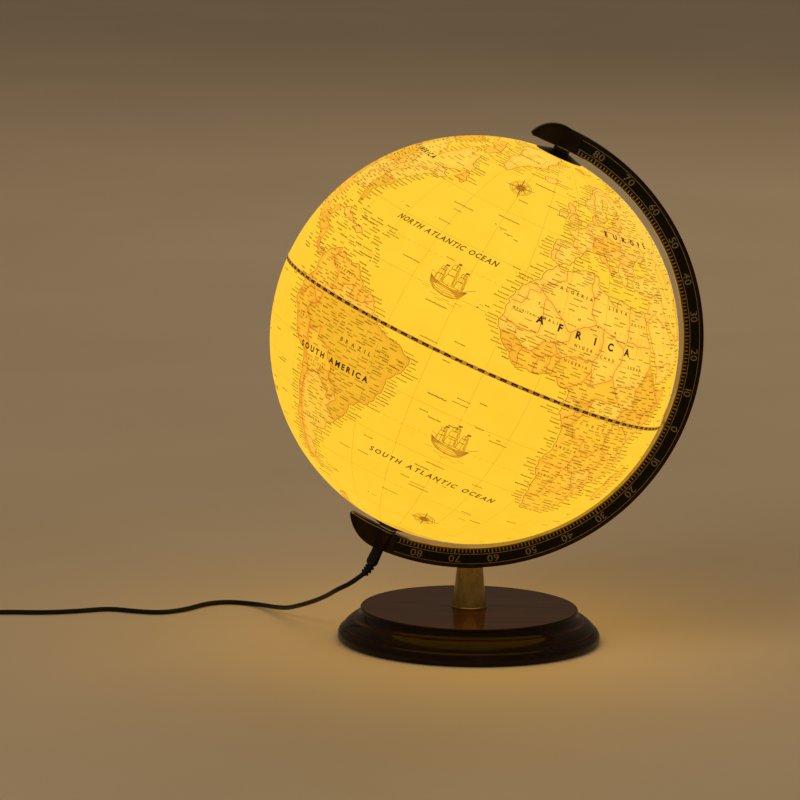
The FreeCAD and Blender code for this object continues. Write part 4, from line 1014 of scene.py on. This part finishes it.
def print_graticule():
    grid = Print()
    flat, width = print_lift(LIFT["grid"]), WIDTH["grid"]
    rises = round(2 * MERIDIAN_END / CURVE_STEP) + 1
    for lon in range(-165, 181, MERIDIAN_STEP):
        grid.line(flat, [(lon, -MERIDIAN_END + CURVE_STEP * n) for n in range(rises)], width)
    for lat in range(-MERIDIAN_END, MERIDIAN_END + 1, MERIDIAN_STEP):
        if lat:
            circle = [(WEST_EDGE + CURVE_STEP * n, lat) for n in range(round(360 / CURVE_STEP) + 1)]
            grid.line(flat, circle, width)
    for lat in (-CIRCLE, -TROPIC, TROPIC, CIRCLE):
        for k in range(360 // DASH_STEP):
            start = WEST_EDGE + DASH_STEP * k
            grid.line(flat, [(start, lat), (start + DASH, lat)], width)
    grid.add("map_graticule", INK["grid"])


LETTERS = {}
CAPITAL = 0.69                  # height of the font's capitals, in its own units


def letter(character, weight):
    """One letter of the built-in font: its points, faces and width, for capitals 1 high.
    The weight, in the same units, is added all round."""
    if (character, weight) not in LETTERS:
        text = bpy.data.curves.new("letter", "FONT")
        text.body = character
        text.resolution_u = 3
        text.offset = CAPITAL * weight
        holder = bpy.data.objects.new("letter", text)
        mesh = bpy.data.meshes.new_from_object(holder)
        points = [(v.co.x / CAPITAL, v.co.y / CAPITAL) for v in mesh.vertices]
        faces = [tuple(p.vertices) for p in mesh.polygons]
        bpy.data.objects.remove(holder)
        left = min((p[0] for p in points), default=0.0)
        points = [(x - left, y) for x, y in points]
        width = max((p[0] for p in points), default=0.45)
        LETTERS[character, weight] = (points, faces, width)
    return LETTERS[character, weight]


# Where a letter's stems end, as fractions of its width and height: a serif lies there.
FEET = {"A": ((0.06, 0), (0.94, 0)), "E": ((0.1, 0), (0.1, 1)),
        "H": ((0.1, 0), (0.9, 0), (0.1, 1), (0.9, 1)), "I": ((0.5, 0), (0.5, 1)), "L": ((0.1, 1),),
        "M": ((0.06, 0), (0.94, 0)), "N": ((0.1, 0), (0.9, 1), (0.1, 1)), "P": ((0.1, 0),),
        "R": ((0.1, 0), (0.95, 0)), "T": ((0.5, 0),), "U": ((0.1, 1), (0.9, 1))}
SERIF_REACH, SERIF_THICK = 0.17, 0.05        # half a serif's width and height, for letters 1 high
LETTER_GAP = 0.16


def print_text(target, text, height, place_at, width=None, weight=0.0, wide=1.0, serifs=False):
    """Letters of that height, centred, each placed on its own. With a width the gaps grow
    to fill it. place_at(x) gives the place function of what stands at x."""
    widths = [wide * letter(c, weight)[2] * height for c in text]
    gap = LETTER_GAP * height
    if width:
        gap = (width - sum(widths)) / max(1, len(text) - 1)
    x = -0.5 * (sum(widths) + gap * (len(text) - 1))
    for character, span in zip(text, widths):
        points, faces, _ = letter(character, weight)
        place = place_at(x + 0.5 * span)
        moved = [(wide * height * p[0] - 0.5 * span, height * (p[1] - 0.5)) for p in points]
        target.shape(place, moved, faces)
        for across, up in FEET.get(character, ()) if serifs else ():
            middle, level = (across - 0.5) * span, (up - 0.5) * height
            half, thick = SERIF_REACH * height, SERIF_THICK * height
            target.box(place, middle - half, level - thick, middle + half, level + thick)
        x += span + gap


# Each name: its text, the longitudes it spans, its latitude and its letters' height.
OCEANS = [
    ("NORTH ATLANTIC OCEAN", -61.3, -24.0, 28.4, 3.9),
    ("SOUTH ATLANTIC OCEAN", -37.9, 9.0, -35.8, 4.1),
    ("NORTH PACIFIC OCEAN", -164.0, -128.0, 28.4, 3.9),
    ("SOUTH PACIFIC OCEAN", -138.0, -92.0, -35.8, 4.1),
    ("INDIAN OCEAN", 62.0, 96.0, -22.5, 4.1),
]
CONTINENTS = [
    ("SOUTH AMERICA", -72.0, -44.2, -16.5, 4.2),
    ("NORTH AMERICA", -119.0, -77.5, 50.0, 4.2),
    ("AFRICA", -7.2, 26.8, 19.1, 5.2),
    ("EUROPE", 14.0, 44.0, 52.0, 4.0),
    ("ASIA", 68.0, 112.0, 46.5, 5.2),
    ("AUSTRALIA", 120.0, 147.0, -24.5, 4.2),
    ("ANTARCTICA", 10.0, 110.0, -78.5, 3.6),
]
COUNTRIES = [
    ("ALGERIA", -3.2, 9.0, 29.8, 2.5), ("LIBYA", 15.5, 23.6, 29.4, 2.4),
    ("EGYPT", 26.0, 32.9, 27.1, 2.0), ("MALI", -5.5, -0.7, 19.9, 2.2),
    ("NIGER", 6.3, 12.7, 16.2, 2.2), ("CHAD", 15.7, 21.2, 15.7, 2.1),
    ("NIGERIA", 4.7, 12.6, 11.4, 2.0), ("SUDAN", 27.2, 33.4, 15.4, 2.0),
    ("MAURITANIA", -14.8, -6.6, 19.5, 1.5), ("SAHARA", -8.3, 26.8, 23.2, 1.9),
    ("BRAZIL", -57.0, -46.0, -9.5, 2.9), ("VENEZUELA", -70.7, -60.9, 7.4, 1.7),
    ("ARGENTINA", -70.0, -60.4, -36.8, 2.0), ("BOLIVIA", -67.6, -60.4, -19.6, 1.8),
    ("ANGOLA", 13.8, 21.6, -11.6, 1.9), ("CONGO", 17.6, 27.0, -3.2, 1.9),
    ("NAMIBIA", 14.4, 20.4, -21.2, 1.7), ("CANADA", -122.0, -92.0, 58.0, 2.8),
    ("UNITED STATES", -112.0, -84.0, 40.2, 2.2), ("MEXICO", -108.0, -99.0, 24.6, 2.0),
    ("GREENLAND", -52.0, -32.0, 71.0, 1.9), ("RUSSIA", 70.0, 110.0, 60.5, 3.0),
    ("CHINA", 92.0, 114.0, 33.5, 2.9), ("INDIA", 74.5, 84.0, 22.0, 2.5),
    ("MONGOLIA", 96.0, 112.0, 43.0, 2.0), ("IRAN", 49.5, 58.0, 32.0, 2.2),
    ("KAZAKHSTAN", 56.0, 78.0, 49.3, 2.0), ("PERU", -77.4, -72.6, -9.4, 1.9),
]


class Room:
    """Which cells of the map are taken, so that names don't run over each other."""
    TALL, WIDE = 0.30, 0.40         # a cell, in degrees
    BELT = 15                       # cells of different belts of latitude are never the same

    def __init__(self):
        self.taken = set()

    def cells(self, lon, lat, wide, tall):
        """The cells under a box, in millimetres, centred there."""
        up, half = 0.5 * tall / DEGREE, 0.5 * wide / DEGREE
        middle = lon * east_scale(lat)
        rows = range(round((lat - up) / self.TALL), round((lat + up) / self.TALL) + 1)
        columns = range(round((middle - half) / self.WIDE), round((middle + half) / self.WIDE) + 1)
        return {(round(lat / self.BELT), row, column) for row in rows for column in columns}

    def take(self, lon, lat, wide, tall):
        cells = self.cells(lon, lat, wide, tall)
        if cells & self.taken:
            return False
        self.taken |= cells
        return True


room = Room()
ROOM_ABOVE = 0.9                # millimetres kept free around a title


def print_titles(name, titles, material, slant=0.0, weight=0.0, serifs=False):
    """Names of oceans, continents or countries."""
    target = Print()
    for text, west, east, lat, height in titles:
        degree = DEGREE * east_scale(lat)
        middle = 0.5 * (west + east)
        width = (east - west) * degree
        room.take(middle, lat, width, height + ROOM_ABOVE)
        print_text(target, text, height,
                   lambda x: near_map(middle + x / degree, lat, LIFT["title"], slant),
                   width, weight=weight, serifs=serifs)
    target.add(name, material)


# A name's letters, as shares of their height.
PITCH, THICK = 0.74, 0.26
SMALL, TALL_CHANCE = 0.72, 0.25
LEVELS = (0.0, 0.28, 0.5)


def print_word(target, lon, lat, count, height, draw):
    """A row of upright and level strokes, as small and as dense as a place name, centred."""
    place = near_map(lon, lat, LIFT["word"])
    pitch, thick = PITCH * height, THICK * height
    x, base = -0.5 * pitch * count, -0.5 * height
    for k in range(count):
        tall = height if k == 0 or draw.random() < TALL_CHANCE else SMALL * height
        target.box(place, x, base, x + thick, base + tall)
        for level in draw.sample(LEVELS, 2):
            low = base + level * height
            target.box(place, x + thick, low, x + 0.88 * pitch, low + 0.8 * thick)
        x += pitch


# Where names are tried: west, east, south, north, how many tries, and whether on land.
NAME_FIELDS = [
    (-12, 45, 35, 62, 2600, True), (-18, 16, 3, 16, 700, True), (-92, -58, 7, 25, 900, False),
    (-98, -66, 27, 50, 1300, True), (24, 46, -20, 14, 1500, True), (-82, -34, -35, 12, 2600, True),
    (9, 36, -35, 4, 1200, True), (95, 145, -10, 42, 1800, True), (66, 92, 8, 32, 800, True),
    (-175, 175, -72, 78, 9000, True), (-12, 36, 31, 44, 260, False), (-175, 175, -60, 65, 420, False),
]
COAST_GAP = 0.85                # degrees of latitude between names that start at a coast
OFFSHORE = 1.6                  # degrees from a coast to where the side that is sea is told
NAMES_END = 80                  # latitude beyond which there are none
DARK_SHARE = 0.36


def print_names():
    """Small place names, too small to read: out from the coasts, inland, and at sea."""
    draw = random.Random(23)
    dark, faint = Print(), Print()

    def word(lon, lat, count, height):
        if abs(lat) < NAMES_END and room.take(lon, lat, PITCH * height * count + 0.8, height + 0.3):
            print_word(dark if draw.random() < DARK_SHARE else faint, lon, lat, count, height, draw)

    for line in COASTS:
        last = None
        for lon, lat in line:
            if last is not None and abs(lat - last) < COAST_GAP:
                continue
            last = lat
            count, height = draw.randint(5, 13), draw.uniform(0.95, 1.25)
            reach = 0.5 * PITCH * height * count / DEGREE / east_scale(lat) + 0.5
            if not is_land(lon + OFFSHORE, lat):
                word(lon + reach, lat, count, height)
            elif not is_land(lon - OFFSHORE, lat):
                word(lon - reach, lat, count, height)
    for lon, lat in outline(SMALL_ISLANDS):
        word(lon + 3.2, lat - 0.4, draw.randint(5, 9), 1.0)
    for west, east, south, north, tries, wanted in NAME_FIELDS:
        for _ in range(tries):
            lon, lat = draw.uniform(west, east), draw.uniform(south, north)
            count, height = draw.randint(5, 12), draw.uniform(0.9, 1.2)
            if not wanted:
                count, height = draw.randint(7, 18), draw.uniform(0.95, 1.4)
            if is_land(lon, lat) == wanted and draw.random() < math.cos(math.radians(lat)):
                word(lon, lat, count, height)
    dark.add("map_names_dark", INK["names"])
    faint.add("map_names_faint", INK["faint"])


def bowed(points, bow):
    """Bends a straight-sided closed outline: each side's middle moves out by bow times it."""
    made = []
    for a, b in zip(points, points[1:] + points[:1]):
        made += [a, (0.5 * (a[0] + b[0]) + bow * (b[1] - a[1]),
                     0.5 * (a[1] + b[1]) - bow * (b[0] - a[0]))]
    return made


KEEL = [(-14, 0), (-12.5, -4.5), (-8, -8), (-1, -9.6), (6, -9.3), (10, -7.5), (13.5, -1.5)]
RAIL = [(-14, 0), (-10.5, -1.8), (-6, -2.9), (-1, -3.4), (4, -3.4), (9, -2.7), (13.5, -1.5)]
MASTS = [(-8.0, 9.0, 3.0), (-0.5, 13.0, 4.2), (7.0, 9.5, 3.2)]     # place, top, half a sail's width
DECK, SAIL_FOOT = -3, -2
SAIL_HEIGHTS = [(0.02, 0.42), (0.46, 0.72), (0.76, 0.94)]          # fractions of a mast
SAIL_TAPER, SAIL_SHRINK, SAIL_BOW = 0.8, 0.82, 0.10
PLANKS = (0.0, 0.3, 0.55, 0.78, 1.0)                               # from keel to rail
STERN = [(-14, 0), (-14.8, 3), (-10.4, 1.4), (-10.2, -1.8)]
BOWSPRIT = [(11, -2), (18.5, 2.6)]
WAVES = [(-16, -9), (-9, -11.3), (0, -12), (9, -11.2), (-4, -13.2), (5, -13.4)]
HULL_LINE, SPAR_LINE, SAIL_LINE, ROPE_LINE, WAVE_LINE = 0.28, 0.32, 0.34, 0.16, 0.22


def print_ship(lines, wash, place):
    """A plain three-masted sailing ship of no particular kind."""
    wash.patch(place, KEEL + RAIL[::-1][1:-1])
    for share in PLANKS:
        plank = [(a[0] + share * (b[0] - a[0]), a[1] + share * (b[1] - a[1]))
                 for a, b in zip(KEEL, RAIL)]
        lines.line(place, plank, HULL_LINE)
    lines.line(place, STERN, 0.3)
    lines.line(place, BOWSPRIT, SPAR_LINE)
    for x, top, half in MASTS:
        lines.line(place, [(x, DECK), (x, top)], SPAR_LINE)
        lines.patch(place, [(x, top), (x + 2.6, top + 0.5), (x + 2.4, top + 1.7), (x, top + 1.5)])
        for low, high in SAIL_HEIGHTS:
            y0, y1 = (SAIL_FOOT + share * (top - SAIL_FOOT) for share in (low, high))
            narrow = SAIL_TAPER * half
            sail = [(x - half, y0), (x + half, y0), (x + narrow, y1), (x - narrow, y1)]
            wash.patch(place, [(x + 0.45 * half, y0 + 0.3), (x + 0.9 * half, y0 + 0.4),
                               (x + 0.7 * half, y1 - 0.2), (x + 0.4 * half, y1 - 0.2)])
            lines.line(place, bowed(sail, SAIL_BOW), SAIL_LINE, closed=True)
            half *= SAIL_SHRINK
        for side in (-1, 1):
            lines.line(place, [(x, top), (x + 3.4 * side, -2.6)], ROPE_LINE)
    for x0, y0 in WAVES:
        lines.line(place, [(x0 + 0.8 * k, y0 + 0.5 * (k % 2)) for k in range(8)], WAVE_LINE)


ROSE_RINGS = (6.3, 8.0)
ROSE_POINTS = (11.0, 5.0, 7.4, 5.0)          # how far the points reach, four to a quarter
ROSE_FOOT = 1.7
ROSE_MARKS = 48                              # between the rings
ROSE_LINE, ROSE_MARK_LINE = 0.26, 0.16


def ring_point(radius, degrees):
    return radius * math.cos(math.radians(degrees)), radius * math.sin(math.radians(degrees))


def print_rose(lines, wash, place):
    """A sixteen-pointed compass rose in two rings."""
    for radius in ROSE_RINGS:
        lines.line(place, [ring_point(radius, 12 * k) for k in range(30)], ROSE_LINE, closed=True)
    for k in range(16):
        tip = ring_point(ROSE_POINTS[k % 4], 22.5 * k)
        for side in (-1, 1):
            foot = ring_point(ROSE_FOOT, 22.5 * (k + side))
            lines.line(place, [foot, tip], ROSE_LINE)
            if side > 0:
                lines.patch(place, [(0, 0), (0.7 * tip[0], 0.7 * tip[1]), foot])
            else:
                wash.patch(place, [(0, 0), foot, tip])
    for k in range(ROSE_MARKS):
        ends = [ring_point(radius, 360 / ROSE_MARKS * k) for radius in ROSE_RINGS]
        lines.line(place, ends, ROSE_MARK_LINE)


# Ships: longitude, latitude, scale, and which way they sail. Roses: longitude and latitude.
SHIPS = [(-34.3, 18.0, 1.08, 1), (-14.5, -22.6, 1.08, 1), (-128.0, 2.5, 1.0, 1),
         (88.0, -38.0, 1.0, -1), (168.0, 40.0, 0.9, -1)]
ROSES = [(-31.2, 55.4), (-6.6, -55.6), (-112.0, -52.0), (75.0, -48.0), (-150.0, 44.0), (64.0, 4.0)]
SHIP_ROOM, ROSE_ROOM = (34, 26), (21, 21)    # millimetres wide and high
ROSE_TURN = 8


def print_drawings():
    lines, wash = Print(), Print()
    for lon, lat, scale, way in SHIPS:
        room.take(lon, lat, *SHIP_ROOM)
        flat = near_map(lon, lat, LIFT["drawing"], scale=scale)
        print_ship(lines, wash, lambda x, y: flat(way * x, y))
    for lon, lat in ROSES:
        room.take(lon, lat, *ROSE_ROOM)
        print_rose(lines, wash, near_map(lon, lat, LIFT["drawing"], turn=ROSE_TURN))
    lines.add("map_drawings", INK["drawing"])
    wash.add("map_drawing_wash", INK["wash"])


TAPE_BLOCKS = 108
TAPE_TOP = 0.38                # height of the tape's face above the shell
TAPE_START = 0.8               # longitude of the first block's middle
BLOCK_SHARE = 0.29             # half a block's width, of the pitch
TAPE_HALF, TAPE_EDGE = 0.34, 0.40      # degrees from its middle to the blocks' ends, and edges
EDGE_LINE = 0.20
DASH_LOW, DASH_HIGH = -0.16, -0.07


def print_tape():
    """Black blocks and edges on the joint's tape, tan between them, and a tan dash in each."""
    black, tan, dash = Print(), Print(), Print()
    pitch = 360 / TAPE_BLOCKS
    half = BLOCK_SHARE * pitch
    flat, above = print_lift(TAPE_TOP), print_lift(TAPE_TOP + 0.03)
    for side in (-1, 1):
        black.line(flat, [(3 * k, side * TAPE_EDGE) for k in range(120)], EDGE_LINE, closed=True)
    for k in range(TAPE_BLOCKS):
        lon = TAPE_START + pitch * k
        black.box(flat, lon - half, -TAPE_HALF, lon + half, TAPE_HALF)
        tan.box(flat, lon + half, -TAPE_HALF, lon + pitch - half, TAPE_HALF)
        dash.box(above, lon - 0.5 * half, DASH_LOW, lon + 0.5 * half, DASH_HIGH)
    black.add("tape_blocks", INK["black"], slot="tape_print")
    tan.add("tape_gaps", INK["tape"], slot="tape_print")
    dash.add("tape_dashes", INK["tape"], slot="tape_print")


def tape_material():
    made = Surface("tape_print", (0.30, 0.15, 0.03), 0.5, Emission_Strength=1.0)
    tone = made.noise(2.0)
    made.colour(tone, (0.3, (0.22, 0.10, 0.02)), (0.7, (0.32, 0.17, 0.035)))
    made.link("Emission Color", made.ramp(tone, (0.3, (0.62, 0.31, 0.018)), (0.7, (0.86, 0.46, 0.028))))
    return made.material


print_titles("map_oceans", OCEANS, INK["ocean"], slant=0.32, weight=0.035, serifs=True)
print_titles("map_continents", CONTINENTS, INK["title"], weight=0.06)
print_titles("map_countries", COUNTRIES, INK["country"], weight=0.04)
print_map_lines()
print_graticule()
print_drawings()
print_names()
print_tape()
NODES["equator_tape"].material_slots[0].material = tape_material()


# ---- meridian arm: degree scale on both faces ----
def pale_print(name, low, high):
    made = Surface(name, high, 0.5, Specular_IOR_Level=0.3)
    made.colour(made.noise(1.0), (0.3, low), (0.7, high))
    return made.material


GOLD = pale_print("gold_print", (0.20, 0.135, 0.055), (0.32, 0.22, 0.09))
GREY = pale_print("grey_print", (0.15, 0.12, 0.08), (0.23, 0.185, 0.125))
# Radii on the arm.
TICK_FOOT, INNER_LINE, OUTER_LINE, NUMBER_MIDDLE = 156.5, 160.3, 167.4, 163.9
RING_WIDTHS = {INNER_LINE: 0.42, OUTER_LINE: 0.36, TICK_FOOT: 0.25}
TICK_WIDTH, TICK_LENGTH = 0.85, 2.6
FINE_TICK_WIDTH, FINE_TICK_IN, FINE_TICK_OUT = 0.3, 0.5, 0.7      # it crosses the inner line
NUMBER_HEIGHT, NUMBER_WIDE = 5.0, 1.25
SCALE_LIFT = 0.03


def on_arm(side):
    """A place function, in degrees of latitude and millimetres from the arm's centre, on the
    arm's front (side 1) or back (side -1)."""
    out = side * FRONT

    def place(lat, radius):
        a = math.radians(lat)
        spoke = math.cos(a) * EAST + math.sin(a) * POLE
        return ARM_CENTRE + radius * MM * spoke + (SCALE_FACE + SCALE_LIFT) * MM * out, out

    return place


def arm_number_place(side, lat):
    """A place function in millimetres along and across the arm, for one number's digit."""
    flat = on_arm(side)

    def place(x, y):
        return flat(lat - side * math.degrees(x / NUMBER_MIDDLE), NUMBER_MIDDLE + y)

    return place


def print_scale(side, face):
    """Degree marks, and a number every ten degrees, on one face of the arm."""
    marks, numbers = Print(), Print()
    flat = on_arm(side)
    for radius, width in RING_WIDTHS.items():
        marks.line(flat, [(SCALE_END * (k / 60 - 1), radius) for k in range(121)], width)
    for degree in range(-85, 86):
        whole = degree % 5 == 0
        top = INNER_LINE if whole else TICK_FOOT + TICK_LENGTH
        marks.line(flat, [(degree, TICK_FOOT), (degree, top)], TICK_WIDTH)
        if whole:
            marks.line(flat, [(degree, INNER_LINE - FINE_TICK_IN), (degree, INNER_LINE + FINE_TICK_OUT)],
                       FINE_TICK_WIDTH)
    for lat in range(-80, 81, 10):
        print_text(numbers, str(abs(lat)), NUMBER_HEIGHT,
                   lambda x: arm_number_place(side, lat - side * math.degrees(x / NUMBER_MIDDLE)),
                   wide=NUMBER_WIDE)
    marks.add("degree_marks_" + face, GOLD, "stand", "scale_print")
    numbers.add("degree_numbers_" + face, GREY, "stand", "scale_print")


print_scale(1, "front")
print_scale(-1, "back")


# ---- floor and light ----
FLOOR_R = 14                   # metres
LIGHTS = [                     # name, place, size, power, colour
    ("key", (-1.8, -2.2, 2.4), 1.8, 19, (1.0, 0.82, 0.60)),
    ("fill", (2.4, -1.6, 1.6), 2.2, 7, (1.0, 0.84, 0.64)),
    ("back", (0.8, 2.6, 2.2), 2.0, 11, (1.0, 0.80, 0.56)),
]
ROOM_COLOUR, ROOM_LIGHT = (1.0, 0.80, 0.56, 1), 0.15


def add_floor():
    rim = [(*ring_point(FLOOR_R, 6 * k), 0) for k in range(60)]
    mesh = bpy.data.meshes.new("floor")
    mesh.from_pydata(rim, [], [tuple(range(60))])
    pale = Surface("floor", (0.80, 0.67, 0.50), 0.6, Specular_IOR_Level=0.1)
    pale.colour(pale.noise(300, detail=2), (0.3, (0.78, 0.65, 0.48)), (0.7, (0.82, 0.69, 0.52)))
    mesh.materials.append(pale.material)
    floor = bpy.data.objects.new("floor", mesh)
    SCENE.collection.objects.link(floor)


def add_light(name, place, size, power, colour):
    light = bpy.data.lights.new(name, "AREA")
    light.shape = "DISK"
    light.size = size
    light.energy = power
    light.color = colour
    lamp = bpy.data.objects.new(name, light)
    lamp.location = place
    lamp.rotation_euler = (CENTRE - Vector(place)).to_track_quat("-Z", "Y").to_euler()
    lamp.visible_camera = False
    lamp.visible_glossy = False
    SCENE.collection.objects.link(lamp)


def add_studio():
    add_floor()
    for light in LIGHTS:
        add_light(*light)
    world = bpy.data.worlds.new("studio")
    world.use_nodes = True
    background = world.node_tree.nodes["Background"]
    background.inputs["Color"].default_value = ROOM_COLOUR
    background.inputs["Strength"].default_value = ROOM_LIGHT
    SCENE.world = world
    SCENE.view_settings.view_transform = "Standard"


add_studio()

bpy.context.view_layer.update()
